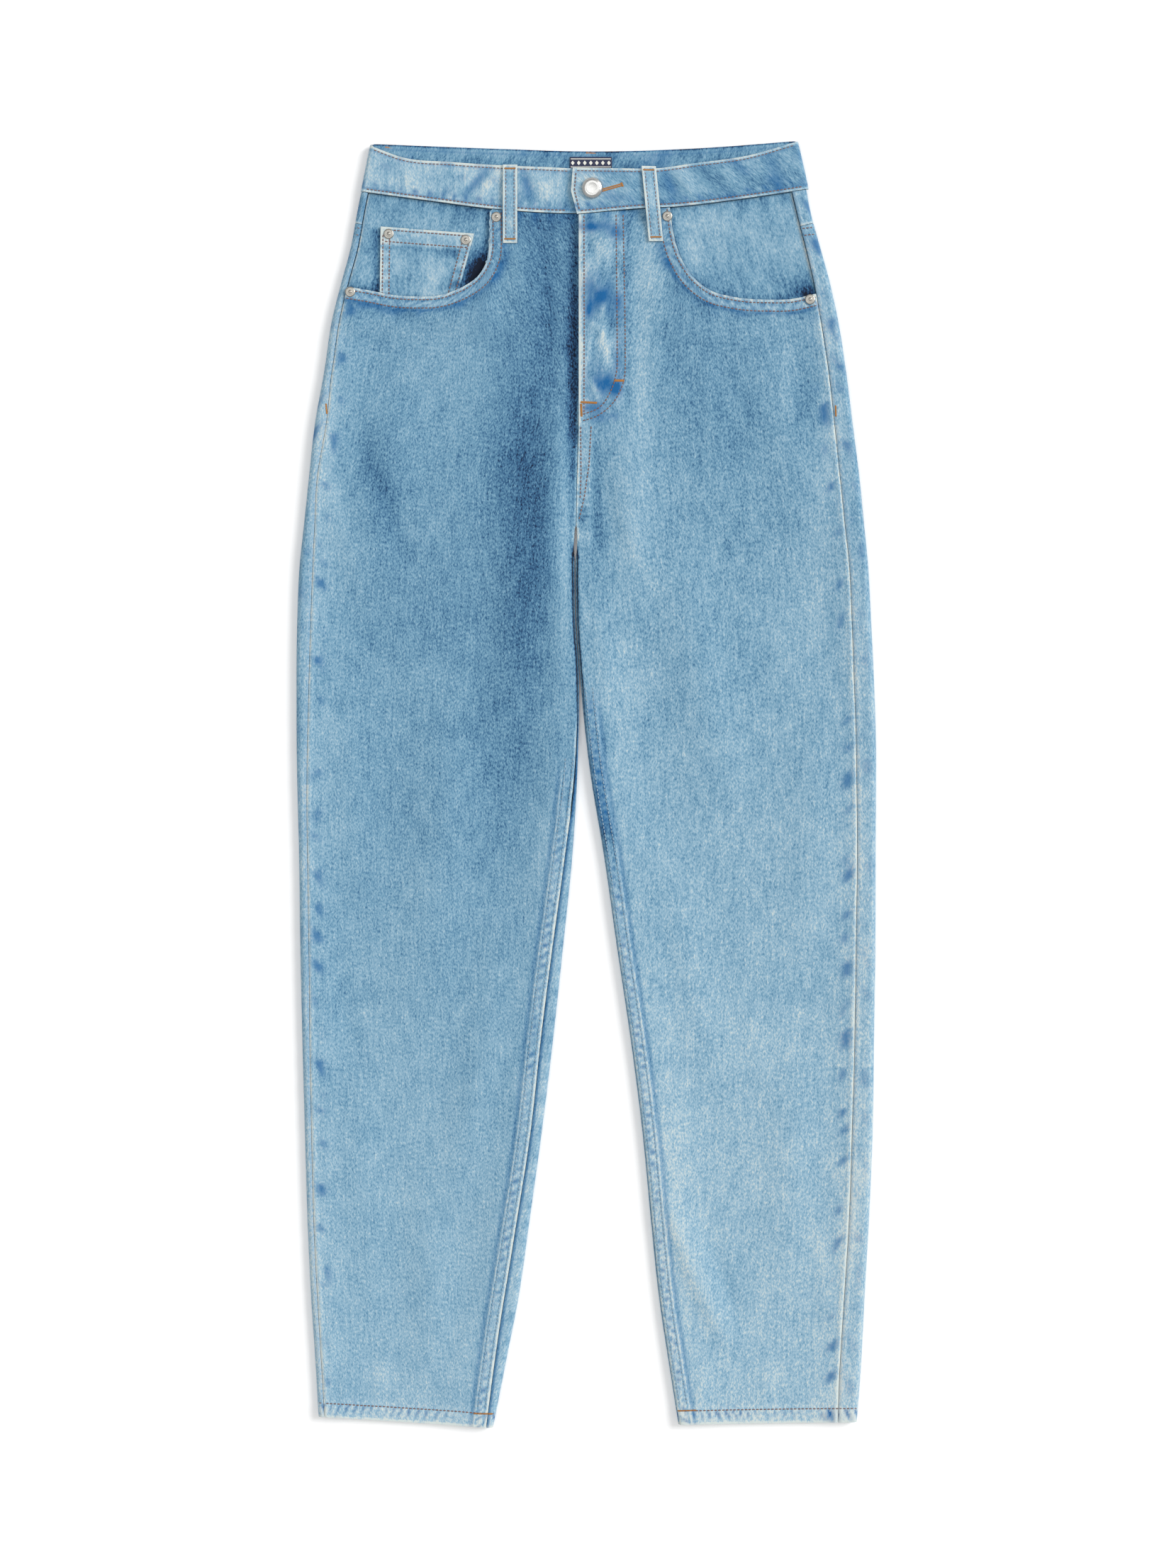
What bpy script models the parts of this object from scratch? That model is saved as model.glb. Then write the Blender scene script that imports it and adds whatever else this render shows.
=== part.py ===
"""High-waisted jeans laid flat, front up: the cut pieces as thin denim walls.

The waist points to +Y, the front faces +Z and the floor is z = 0. The tables and
the shape functions work in millimetres, and each piece is placed in metres.
The right leg is the wearer's right, at -X.
"""

import bpy
import bmesh
import numpy as np

MM = 0.001

# Cloth and seams
WALL = 1.3            # denim of the panels
HEM_WALL = 2.6        # the hem, turned up twice
BAND_WALL = 2.6       # the waistband, two layers
FACING_WALL = 1.2     # pocket facings, coin pocket and back pockets
LOOP_WALL = 1.3       # belt loops
LABEL_WALL = 0.8
CLEARANCE = 0.3       # between pieces that touch

# Heights along Y of the seams and edges
YOKE_CENTRE = 415.0   # yoke seam at the centre back
YOKE_SIDE = 459.0     # yoke seam at the side seams
HIP = 295.0           # below this height the rows of a panel run straight across
CROTCH = 212.0
HEM_DEPTH = 12.0
HEM_SEAM_SHARE = 0.2  # of the hem's extra thickness, beside the seams
HEM_STEP = 0.8        # how far the hem stands up over the leg

# A fold at a side or an inseam
FOLD = 4.0            # half width of the round edge
CROTCH_FOLD = 2.2     # half width of the inner edge where it starts at the crotch
CROTCH_RISE = 40.0    # the back's inner edge climbs to the inseam over this stretch
FOLD_LEAD = 4.0       # stretch of floor that still belongs to the fold's rows
TAIL = 10.0           # last stretch of a front, where its columns lie close together
FLY_UNDERLAP = 6.0    # how far the right front runs on under the fly
EDGE_RUN = 24.0       # how far in the edge's height fades into the panel's
CENTRE_FLAT = 12.0    # level stretch beside the centre front and the inner edges
CENTRE_RUN = 26.0     # how far beyond it their height fades into the panel's
FOLD_TRIM = 0.8       # half the gap of a seam that lies on the round edge
POCKET_END_GAP = 0.4  # more at the side seam beside the pocket, where the rows differ
WAIST_GAP = 0.6       # at the waist seam, where band and panels bend differently

SIDES = {"right": -1, "left": 1}

# Each leg's section by height: the outline's outer and inner edges, and how far
# in from them the side seam and the inseam lie on the front.
SECTION = ("y", "outer", "outseam_in", "inner", "inseam_in")
SECTIONS = {
    "right": (
        (500, -181.0, 6.0, -6.3, 0.5),
        (465, -188.0, 6.0, -6.3, 0.5),
        (440, -192.5, 6.0, -6.3, 0.5),
        (410, -200.5, 6.0, -6.3, 0.5),
        (380, -208.0, 6.5, -6.3, 0.5),
        (340, -214.0, 6.5, -6.3, 0.5),
        (295, -222.0, 9.5, -6.3, 0.5),
        (250, -227.0, 7.0, -7.5, 0.5),
        (212, -231.0, 9.0, -8.2, 0.5),
        (180, -234.5, 11.0, -9.6, 0.5),
        (135, -236.5, 11.3, -9.0, 0.5),
        (85, -237.2, 10.5, -5.9, 0.5),
        (15, -236.8, 8.5, -7.0, 1.5),
        (-60, -235.0, 7.0, -11.5, 6.0),
        (-135, -234.0, 7.2, -19.2, 8.5),
        (-210, -232.3, 6.2, -27.2, 10.0),
        (-285, -230.3, 5.6, -36.5, 9.0),
        (-360, -228.0, 5.2, -46.8, 10.4),
        (-420, -225.2, 5.4, -55.5, 11.5),
        (-470, -221.8, 5.0, -65.2, 9.3),
        (-527, -218.5, 5.0, -76.5, 5.5),
    ),
    "left": (
        (500, 178.0, 13.5, -6.3, 0.5),
        (465, 184.3, 11.5, -6.3, 0.5),
        (440, 191.3, 12.0, -6.3, 0.5),
        (410, 199.5, 13.2, -6.3, 0.5),
        (380, 206.0, 14.3, -6.3, 0.5),
        (340, 212.3, 14.4, -6.3, 0.5),
        (295, 218.0, 15.1, -6.3, 0.5),
        (250, 223.6, 16.0, -7.5, 0.5),
        (212, 227.4, 15.9, -8.2, 0.5),
        (180, 230.6, 15.6, -8.8, 0.5),
        (135, 233.0, 15.8, -8.2, 0.5),
        (85, 235.5, 16.5, -4.8, 0.5),
        (15, 237.2, 16.2, 2.5, 0.5),
        (-60, 236.8, 15.2, 14.7, 0.5),
        (-135, 236.6, 16.0, 25.4, 0.5),
        (-210, 235.5, 16.0, 36.5, 0.5),
        (-285, 234.4, 17.0, 46.0, 0.5),
        (-360, 231.2, 16.4, 53.2, 0.5),
        (-420, 227.8, 16.8, 59.5, 0.5),
        (-470, 225.3, 17.5, 67.0, 0.5),
        (-527, 221.0, 15.5, 76.0, 0.5),
    ),
}
HEM_LINE = {"right": (-517.0, -526.0), "left": (-521.5, -523.5)}   # at the outer and the inner edge
HEM_MEAN = -522.0

# Heights of the front's outer face: at the outer fold, in the middle of a panel,
# at the centre front or inner fold of each leg, and of the underside.
HEIGHT = ("y", "edge", "middle", "right", "left", "under")
HEIGHTS = (
    (500, 7.6, 7.4, 7.0, 10.2, 1.6),
    (465, 7.8, 7.4, 6.8, 10.2, 1.6),
    (440, 8.2, 7.0, 5.6, 9.0, 1.6),
    (410, 8.6, 6.8, 5.0, 8.0, 1.6),
    (380, 8.8, 6.4, 4.9, 7.6, 1.6),
    (340, 9.0, 5.8, 4.9, 7.4, 1.6),
    (295, 9.0, 5.4, 4.9, 7.0, 1.6),
    (270, 9.0, 5.3, 5.8, 6.0, 1.6),
    (245, 8.8, 5.2, 5.6, 5.6, 1.6),
    (212, 8.6, 4.8, 5.2, 5.2, 0.8),
    (180, 8.4, 4.4, 6.4, 6.4, 0.0),
    (135, 8.2, 4.0, 7.4, 7.4, 0.0),
    (15, 8.0, 3.8, 7.4, 7.4, 0.0),
    (-210, 7.6, 3.7, 7.2, 7.2, 0.0),
    (-420, 7.2, 3.8, 7.0, 7.0, 0.0),
    (-490, 7.2, 4.8, 7.0, 7.0, 0.0),
    (-527, 7.2, 5.4, 7.0, 7.0, 0.0),
)

# The largest folds of the front: x0, y0, x1, y1 of the two ends, height, half width
FOLDS = {
    "right": (
        (-26, 300, -30, 170, 2.4, 14),
        (-48, 250, -60, 60, 2.6, 20),
        (-150, 330, -185, 180, 2.2, 26),
        (-200, 110, -190, -80, 1.8, 20),
        (-110, 60, -130, -160, 2.4, 24),
        (-70, -120, -105, -330, 2.2, 18),
        (-190, -240, -180, -430, 1.8, 20),
        (-130, -330, -125, -480, 1.8, 18),
    ),
    "left": (
        (30, 300, 40, 140, 2.6, 18),
        (150, 340, 190, 200, 2.0, 26),
        (70, 190, 110, 0, 2.4, 24),
        (190, 60, 180, -130, 2.0, 22),
        (60, -60, 100, -230, 2.0, 20),
        (70, -345, 112, -450, 2.6, 12),
        (170, -230, 165, -400, 2.0, 20),
    ),
}

# Edge of each front pocket, from the waist seam round to the side seam
POCKET_EDGE = {
    "right": (
        (-79.0, 470.5), (-78.7, 448), (-80, 431), (-88, 416), (-104.5, 405),
        (-129, 398.8), (-154, 399.5), (-178, 403.8), (-195, 406.5),
    ),
    "left": (
        (68.5, 472.5), (71, 452), (76, 434), (87.5, 415), (101.5, 404),
        (120, 398.8), (144, 396.6), (167, 396.8), (187.5, 401),
    ),
}
FACING_UNDER = 10.0   # how far a facing runs on under the front
FACING_DROP = 2.0     # from the front's outer face down to the facing's
COIN_POCKET = ((-168.2, 456.3), (-91.6, 450.5), (-106.5, 396.0), (-169.0, 396.0))
COIN_LIFT = 1.8       # how far the front rises over the coin pocket
COIN_LIFT_CENTRE = (-138.0, 400.0)
COIN_LIFT_HALF = (48.0, 16.0)
COIN_LIFT_RAMP = 24.0

# Waistband: top and bottom edges along X on the front and on the back
BAND_TOP = {
    "right": ((-176, 522), (-151, 512.8), (-110, 508.8), (-68, 506), (-30, 504.5), (16, 502)),
    "left": ((-11, 503.8), (47, 503), (90, 508), (134, 514.5), (172, 525.5)),
    "back": ((-172, 524), (-68, 520), (5, 518), (90, 520.5), (172, 526.5)),
}
BAND_FOOT = {
    "right": ((-184, 485), (-132, 478), (-68, 470), (-8, 467), (16, 468.5)),
    "left": ((-8, 466), (46, 471), (75, 472.8), (122, 478.3), (181, 487)),
    "back": ((-184, 485), (-90, 481), (0, 480), (90, 482), (181, 487)),
}
BAND_LEFT_EDGE = (-177.0, -184.5)    # top and bottom of the fold at -X
BAND_RIGHT_EDGE = (173.5, 182.0)
BAND_END = (-11.0, -12.5, -7.5)      # the lapped end at its top, middle and foot
BAND_UNDER_END = 16.0                # the end that lies below it
BAND_FRONT = 8.2                     # outer face of the front band
BAND_BACK = 1.6                      # outer face of the back band, over its loops
BAND_LAP = 3.0                       # how far the lapped end stands higher
LAP_START, LAP_END = 36.0, 72.0      # where the band climbs onto the lap

# Belt loops on the front: centre at the top and at the foot
LOOP_WIDTH = 12.0
LOOP_ARCH = 0.8
LOOP_SEAT = 0.4       # from the band's face up to a loop
RIVET_SEAT = 0.3
FRONT_LOOPS = {
    "right": ((-62.3, 506.5), (-62.3, 442.5)),
    "left": ((51.0, 505.0), (57.0, 444.0)),
}
BACK_LOOPS = {"back_right": -150.0, "centre_back": 3.0, "back_left": 150.0}
BACK_LOOP_FOOT = 459.0

BACK_POCKET_CENTRE = 106.0
BACK_POCKET_TOP = 402.0
BACK_POCKET_FOOT = 262.0
BACK_POCKET_POINT = 16.0
BACK_POCKET_HALF = (70.0, 60.0)      # half width at the top and at the foot

BUTTON_CENTRE = (4.9, 487.0)
BUTTON_DOME = (
    (0.0, 4.0), (3.0, 3.9), (5.6, 3.4), (7.6, 2.4), (8.6, 1.5), (8.6, 0.8), (7.4, 0.0), (0.0, 0.0),
)
RIVET_DOME = ((0.0, 1.6), (1.6, 1.3), (2.4, 0.9), (4.1, 0.7), (4.2, 0.0), (0.0, 0.0))
RIVETS = {
    "pocket_right_waist": (-73.5, 464.0),
    "pocket_right_side": (-192.8, 402.4),
    "coin_outer": (-161.5, 450.2),
    "coin_inner": (-98.5, 445.4),
    "pocket_left_waist": (66.3, 464.6),
    "pocket_left_side": (183.0, 396.5),
}
LABEL = (-13.5, 21.0, 486.0, 513.5)   # x from and to, y from and to

ROW_LEVELS = (250, CROTCH, 200, 184, 150, 100, 40, -25, -95, -165, -235, -305, -375, -440, -485)
HEM_ROWS = (HEM_DEPTH + 1.2, HEM_DEPTH - 0.4, 0.0)
TOP_ROWS = 7
SHARP = 0.87          # radians, for smooth shading

# Name: colour, roughness and metallic
PAINTS = {
    "denim": ((0.30, 0.46, 0.62, 1.0), 0.9, 0.0),
    "denim_band": ((0.34, 0.50, 0.65, 1.0), 0.9, 0.0),
    "denim_facing": ((0.27, 0.43, 0.60, 1.0), 0.9, 0.0),
    "button_metal": ((0.78, 0.78, 0.76, 1.0), 0.28, 1.0),
    "rivet_metal": ((0.62, 0.61, 0.56, 1.0), 0.35, 1.0),
    "woven_label": ((0.05, 0.08, 0.18, 1.0), 0.8, 0.0),
}


def clear_scene():
    for thing in list(bpy.data.objects):
        bpy.data.objects.remove(thing, do_unlink=True)


def smooth_curve(xs, ys):
    """A smooth curve through the points (xs, ys), as a function of x."""
    xs = np.array(xs, float)
    ys = np.array(ys, float)
    order = np.argsort(xs)
    xs, ys = xs[order], ys[order]
    slopes = np.gradient(ys, xs)
    secants = np.diff(ys) / np.diff(xs)
    slopes[1:-1][secants[1:] * secants[:-1] <= 0] = 0.0

    def at(x):
        x = np.clip(x, xs[0], xs[-1])
        i = np.clip(np.searchsorted(xs, x) - 1, 0, len(xs) - 2)
        span = xs[i + 1] - xs[i]
        t = (x - xs[i]) / span
        start = ys[i] * (1 + 2 * t) * (1 - t) ** 2 + ys[i + 1] * t * t * (3 - 2 * t)
        return start + span * (slopes[i] * t * (1 - t) ** 2 - slopes[i + 1] * t * t * (1 - t))

    return at


def table_curves(columns, rows):
    """Each column of a table as a smooth curve of its first column."""
    values = np.array(rows, float)
    return {name: smooth_curve(values[:, 0], values[:, k]) for k, name in enumerate(columns)}


def route(points, count):
    """The given number of points spaced evenly along a smooth route."""
    points = np.array(points, float)
    steps = np.hypot(*np.diff(points, axis=0).T)
    along = np.concatenate([[0], np.cumsum(steps)])
    dense = np.linspace(0, along[-1], 200)
    fine = np.stack([smooth_curve(along, points[:, k])(dense) for k in (0, 1)], axis=1)
    return resample(fine, np.linspace(0, 1, count))


def resample(points, fractions):
    """Points at the given fractions of a polyline's length."""
    points = np.array(points, float)
    steps = np.sqrt((np.diff(points, axis=0) ** 2).sum(axis=1))
    along = np.concatenate([[0], np.cumsum(steps)])
    wanted = np.array(fractions) * along[-1]
    return np.stack([np.interp(wanted, along, points[:, k]) for k in range(points.shape[1])], axis=1)


def ease(t):
    t = np.clip(t, 0.0, 1.0)
    return t * t * (3 - 2 * t)


def bell(t):
    return np.exp(-np.maximum(t, 0.0) ** 2)


LEG = {side: table_curves(SECTION, rows) for side, rows in SECTIONS.items()}
RISE = table_curves(HEIGHT, HEIGHTS)


def fold_relief(side, x, y):
    """Height that the large folds add at a point of the front."""
    total = 0.0
    for x0, y0, x1, y1, height, width in FOLDS[side]:
        length_squared = (x1 - x0) ** 2 + (y1 - y0) ** 2
        t = np.clip(((x - x0) * (x1 - x0) + (y - y0) * (y1 - y0)) / length_squared, 0, 1)
        off = np.hypot(x - x0 - t * (x1 - x0), y - y0 - t * (y1 - y0))
        total = total + height * np.sin(np.pi * (0.15 + 0.7 * t)) * np.exp(-(off / width) ** 2)
    return total


def inner_half_width(y):
    """Half width of the round edge at the inseam: sharp at the crotch, full lower down."""
    return CROTCH_FOLD + (FOLD - CROTCH_FOLD) * ease((CROTCH - y) / 60.0)


def crown(side, x, y):
    """Height of the front's outer face, before it turns round the folds."""
    leg = LEG[side]
    outer, inner = leg["outer"](y), leg["inner"](y)
    from_outer = np.abs(x - outer)
    from_inner = np.abs(x - inner)
    middle = RISE["middle"](y)
    height = middle + (RISE["edge"](y) - middle) * bell((from_outer - FOLD) / EDGE_RUN)
    height = height + (RISE[side](y) - middle) * bell((from_inner - CENTRE_FLAT) / CENTRE_RUN)
    return height + fold_relief(side, x, y)


def hem_lift(side, x, y):
    """The step up to the hem, 0 above the hem and HEM_STEP on it."""
    return HEM_STEP * ease((hem_level(side, x) + HEM_DEPTH + 0.8 - y) / 1.6)


def hem_level(side, x):
    """Height of the leg's lower edge at x."""
    leg = LEG[side]
    outer, inner = leg["outer"](-527.0), leg["inner"](-527.0)
    t = np.clip((x - outer) / (inner - outer), 0, 1)
    low_outer, low_inner = HEM_LINE[side]
    return low_outer + (low_inner - low_outer) * t


def front_height(side, x, y):
    """Height of the front's outer face, with its turn round the outer fold."""
    height = crown(side, x, y) + hem_lift(side, x, y)
    base = RISE["under"](y)
    q = np.clip(np.abs(x - LEG[side]["outer"](y)) / FOLD, 0, 1)
    middle = (height + base) / 2
    return middle + (height - base) / 2 * np.sqrt(1 - (1 - q) ** 2)


def seam_angle(seam_in, half_width):
    """Angle round a folded edge at which a seam this far in lies: 0 at the extreme, a quarter on top."""
    return np.arccos(1 - min(seam_in / half_width, 1.0))


def front_stop(seam_in, half_width):
    """Where the front ends at a seam: how far in on top, and its angle round the edge."""
    quarter = np.pi / 2
    angle = seam_angle(seam_in, half_width)
    if angle >= quarter:
        return seam_in + CLEARANCE / 2, quarter
    return half_width, min(angle + FOLD_TRIM / half_width, quarter)


def back_stop(seam_in, half_width):
    """The same for the back panel, on the other side of the seam's gap."""
    quarter = np.pi / 2
    angle = seam_angle(seam_in, half_width)
    if angle >= quarter:
        return max(seam_in - CLEARANCE / 2, half_width), quarter
    return half_width, angle - FOLD_TRIM / half_width


def around(x_edge, inward, half_width, top, base, angles):
    """Points (x, z) round a folded edge between its top and its base."""
    x = x_edge + inward * half_width * (1 - np.cos(angles))
    return np.stack([x, (top + base) / 2 + (top - base) / 2 * np.sin(angles)], axis=1)


def turn(side, y, edge, half_width, seam_in):
    """One folded edge of a back panel from its seam on the front to the floor, as (x, z)."""
    x_edge = float(LEG[side][edge](y))
    inward = -SIDES[side] if edge == "outer" else SIDES[side]
    base = float(RISE["under"](y))
    stop, first = back_stop(seam_in, half_width)
    if edge == "inner":
        first = -np.pi / 2 + (first + np.pi / 2) * float(ease((CROTCH - y) / CROTCH_RISE))
    xs = x_edge + inward * np.linspace(stop, half_width, 6)
    flat = np.stack([xs, crown(side, xs, y) + hem_lift(side, xs, y)], axis=1)
    bend = around(x_edge, inward, half_width, flat[-1, 1], base, np.linspace(first, -np.pi / 2, 25))
    lead = np.array([[x_edge + inward * (half_width + FOLD_LEAD), base]])
    if stop > half_width:
        return np.concatenate([flat[:-1], bend, lead])
    return np.concatenate([bend, lead])


def back_section(side, y, turn_steps, flat_steps):
    """The back panel's outer face at one height, from side seam over the floor to inseam."""
    outer = turn(side, y, "outer", FOLD, float(LEG[side]["outseam_in"](y)))
    outer = resample(outer, np.linspace(0, 1, turn_steps + 1))
    base = float(RISE["under"](y))
    if y < CROTCH - 0.5:
        half_width = float(inner_half_width(y))
        inner = turn(side, y, "inner", half_width, float(LEG[side]["inseam_in"](y)))
        inner = resample(inner[::-1], np.linspace(0, 1, turn_steps + 1))
    else:
        end = float(LEG[side]["inner"](y)) + SIDES[side] * CLEARANCE / 2
        start = end + SIDES[side] * (FOLD + FOLD_LEAD)
        inner = np.stack([np.linspace(start, end, turn_steps + 1), np.full(turn_steps + 1, base)], axis=1)
    flat = np.linspace(outer[-1], inner[0], flat_steps + 1)[1:-1]
    return np.concatenate([outer, flat, inner])


def front_path(side, y):
    """The front panel's outer face at one height, as a fine line of (x, z)."""
    leg = LEG[side]
    sign = SIDES[side]
    x_start = float(leg["outer"](y)) - sign * (float(leg["outseam_in"](y)) + CLEARANCE / 2)
    if y >= CROTCH - 0.5:
        xs = np.linspace(x_start, float(centre_front(side, y)), 80)
        return np.stack([xs, front_height(side, xs, y)], axis=1)
    half_width = float(inner_half_width(y))
    x_edge = float(leg["inner"](y))
    stop, last = front_stop(float(leg["inseam_in"](y)), half_width)
    xs = np.linspace(x_start, x_edge + sign * stop, 80)
    path = np.stack([xs, front_height(side, xs, y)], axis=1)
    if last >= np.pi / 2:
        return path
    angles = np.linspace(np.pi / 2, last, 12)[1:]
    bend = around(x_edge, sign, half_width, path[-1, 1], float(RISE["under"](y)), angles)
    return np.concatenate([path, bend])


def front_fractions(length, main_steps, tail_steps):
    """Where the columns of a front panel lie along its section: close together at its inner end."""
    split = 1 - TAIL / length
    return np.concatenate([
        np.linspace(0, split, main_steps + 1)[:-1],
        np.linspace(split, 1, tail_steps + 1),
    ])


def path_length(points):
    return float(np.sqrt((np.diff(points, axis=0) ** 2).sum(axis=1)).sum())


def front_section(side, y, main_steps, tail_steps):
    path = front_path(side, y)
    return resample(path, front_fractions(path_length(path), main_steps, tail_steps))


def centre_front(side, y):
    """Inner edge of a front above the crotch: the right one runs on under the fly."""
    seam = LEG[side]["inner"](y)
    if side == "left":
        return seam + CLEARANCE / 2
    return seam - CLEARANCE / 2 + FLY_UNDERLAP * ease((y - 300.0) / 40.0)


def coons(bottom, top, left, right, u):
    """A grid of (x, y) filled in between its four edges, with columns at the fractions u."""
    v = np.linspace(0, 1, len(left))[:, None, None]
    u = np.asarray(u)[None, :, None]
    ruled = (1 - v) * bottom[None] + v * top[None]
    across = (1 - u) * left[:, None] + u * right[:, None]
    corners = (1 - v) * ((1 - u) * bottom[0] + u * bottom[-1]) + v * ((1 - u) * top[0] + u * top[-1])
    return ruled + across - corners


def along_columns(section, heights):
    """Points of a panel: its sections, each column read at its own heights."""
    levels = np.arange(heights.min() - 3.0, heights.max() + 3.0, 3.0)
    stack = np.array([section(y) for y in levels])
    points = np.empty(heights.shape + (3,))
    for column in range(heights.shape[1]):
        y = heights[:, column]
        points[:, column, 0] = np.interp(y, levels, stack[:, column, 0])
        points[:, column, 1] = y
        points[:, column, 2] = np.interp(y, levels, stack[:, column, 1])
    return points


def leg_rows(side, xs, top_rows):
    """Heights of a panel's rows from the given top rows down to its hem, for columns at xs."""
    hem = hem_level(side, xs)
    rows = list(top_rows)
    for level in ROW_LEVELS:
        share = float(ease((-235.0 - level) / 250.0))
        rows.append(level + share * (hem - HEM_MEAN))
    for above in HEM_ROWS:
        rows.append(hem + above)
    return np.array(rows)


def hem_weights(rows, columns):
    """1 on the hem's rows, where the wall is doubled, and 0 above them."""
    weights = np.zeros((rows, columns))
    weights[-(len(HEM_ROWS) - 1):] = 1.0
    weights[:, (0, -1)] *= HEM_SEAM_SHARE
    return weights


def paint(name):
    """The Principled material of this name, made once."""
    if name in bpy.data.materials:
        return bpy.data.materials[name]
    colour, roughness, metallic = PAINTS[name]
    material = bpy.data.materials.new(name)
    material.use_nodes = True
    shader = material.node_tree.nodes["Principled BSDF"]
    shader.inputs["Base Color"].default_value = colour
    shader.inputs["Roughness"].default_value = roughness
    shader.inputs["Metallic"].default_value = metallic
    material.diffuse_color = colour
    return material


def add_object(name, mesh, paint_name):
    thing = bpy.data.objects.new(name, mesh)
    bpy.data.collections["mom_jeans"].objects.link(thing)
    material = paint(paint_name).copy()
    material.name = f"{name}_{paint_name}"
    mesh.materials.append(material)
    return thing


def sheet(name, points, wall, paint_name, faces, weights=None, thin=1.0):
    """A cloth wall: a grid through the points, its outer face, with the wall behind it.

    faces is 1 where the middle of the grid looks up and -1 where it looks down.
    """
    rows, columns = points.shape[:2]
    r, c = rows // 2, columns // 2
    across = points[r, c] - points[r, c - 1]
    along = points[r, c] - points[r - 1, c]
    if np.cross(across, along)[2] * faces < 0:
        points = points[::-1]
        weights = None if weights is None else weights[::-1]
    mesh = bpy.data.meshes.new(name)
    grid = bmesh.new()
    bmesh.ops.create_grid(grid, x_segments=columns - 1, y_segments=rows - 1, size=1.0)
    shares = []
    for vertex in grid.verts:
        column = round((vertex.co.x + 1) / 2 * (columns - 1))
        row = round((vertex.co.y + 1) / 2 * (rows - 1))
        vertex.co = points[row, column] * MM
        shares.append(1.0 if weights is None else weights[row, column])
    grid.to_mesh(mesh)
    grid.free()
    thing = add_object(name, mesh, paint_name)
    solid = thing.modifiers.new("wall", "SOLIDIFY")
    solid.thickness = wall * MM
    solid.offset = -1.0
    if weights is not None:
        group = thing.vertex_groups.new(name="hem")
        for index, share in enumerate(shares):
            group.add([index], share, "REPLACE")
        solid.vertex_group = group.name
        solid.thickness_vertex_group = thin
    mesh.shade_smooth()
    mesh.set_sharp_from_angle(angle=SHARP)
    return thing


EDGE = {
    part: {
        "top": smooth_curve(*np.array(BAND_TOP[part], float).T),
        "foot": smooth_curve(*np.array(BAND_FOOT[part], float).T),
    }
    for part in BAND_TOP
}


def back_heights(side, sections):
    """Waist seam and yoke seam for each column of the back."""
    x, z = sections[:, 0], sections[:, 1]
    base = z.min()
    up = ease((z - base) / max(z.max() - base, 0.1))
    waist = (1 - up) * EDGE["back"]["foot"](x) + up * EDGE[side]["foot"](x) - WAIST_GAP
    reach = np.abs(x) / np.abs(x).max()
    yoke = YOKE_CENTRE + (YOKE_SIDE - YOKE_CENTRE) * reach
    return waist, yoke


def make_back(side):
    """The yoke and the back panel of one side, which wrap round onto the front."""
    def section(y):
        return back_section(side, y, 7, 5)

    waist, _ = back_heights(side, section(478.0))
    _, yoke = back_heights(side, section(440.0))
    upper = np.linspace(waist, yoke + CLEARANCE / 2, 4)
    sheet(f"yoke_{side}", along_columns(section, upper), WALL, "denim", -1)
    hip = np.linspace(yoke - CLEARANCE / 2, np.full(len(yoke), HIP), 7)
    heights = leg_rows(side, section(-500.0)[:, 0], hip)
    points = along_columns(section, heights)
    weights = hem_weights(*heights.shape)
    sheet(f"back_{side}", points, HEM_WALL, "denim", -1, weights, WALL / HEM_WALL)


def coin_lift(x, y):
    """How far the right front rises where it lies over the coin pocket."""
    off_x = ease((np.abs(x - COIN_LIFT_CENTRE[0]) - COIN_LIFT_HALF[0]) / COIN_LIFT_RAMP)
    off_y = ease((np.abs(y - COIN_LIFT_CENTRE[1]) - COIN_LIFT_HALF[1]) / COIN_LIFT_RAMP)
    return COIN_LIFT * (1 - off_x) * (1 - off_y)


def front_top_edge(side, fractions_of):
    """The front's upper edge: up along the pocket, then along the waist seam."""
    pocket = route(POCKET_EDGE[side][::-1], 40)
    pocket[0, 0] = side_seam(side, pocket[0, 1])
    end = float(centre_front(side, 467.0))
    xs = np.linspace(pocket[-1, 0], end, 30)[1:]
    seam = np.stack([xs, EDGE[side]["foot"](xs) - WAIST_GAP], axis=1)
    pocket[-1, 1] = float(EDGE[side]["foot"](pocket[-1, 0])) - WAIST_GAP
    edge = np.concatenate([pocket, seam])
    return resample(edge, fractions_of(path_length(edge)))


def side_seam(side, y):
    """Where the front ends at the side seam."""
    leg = LEG[side]
    gap = CLEARANCE / 2 + POCKET_END_GAP * ease((y - HIP) / 60.0)
    return leg["outer"](y) - SIDES[side] * (leg["outseam_in"](y) + gap)


def make_front(side):
    """A front panel: shaped to the pocket and the fly above the hip, straight rows below."""
    main_steps, tail_steps = 10, 4

    def section(y):
        return front_section(side, y, main_steps, tail_steps)

    def fractions_of(length):
        return front_fractions(length, main_steps, tail_steps)

    top = front_top_edge(side, fractions_of)
    bottom = np.stack([section(HIP)[:, 0], np.full(main_steps + tail_steps + 1, HIP)], axis=1)
    left_y = np.linspace(HIP, top[0, 1], TOP_ROWS + 1)
    right_y = np.linspace(HIP, top[-1, 1], TOP_ROWS + 1)
    left = np.stack([side_seam(side, left_y), left_y], axis=1)
    right = np.stack([centre_front(side, right_y), right_y], axis=1)
    u = fractions_of(path_length(bottom))
    upper = coons(bottom, top, left, right, u)[::-1]
    z = front_height(side, upper[..., 0], upper[..., 1])
    if side == "right":
        z = z + coin_lift(upper[..., 0], upper[..., 1])
    upper = np.concatenate([upper, z[..., None]], axis=2)
    heights = leg_rows(side, section(-500.0)[:, 0], [])
    lower = along_columns(section, heights)
    points = np.concatenate([upper, lower])
    weights = hem_weights(*points.shape[:2])
    sheet(f"front_{side}", points, HEM_WALL, "denim", 1, weights, WALL / HEM_WALL)


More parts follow.
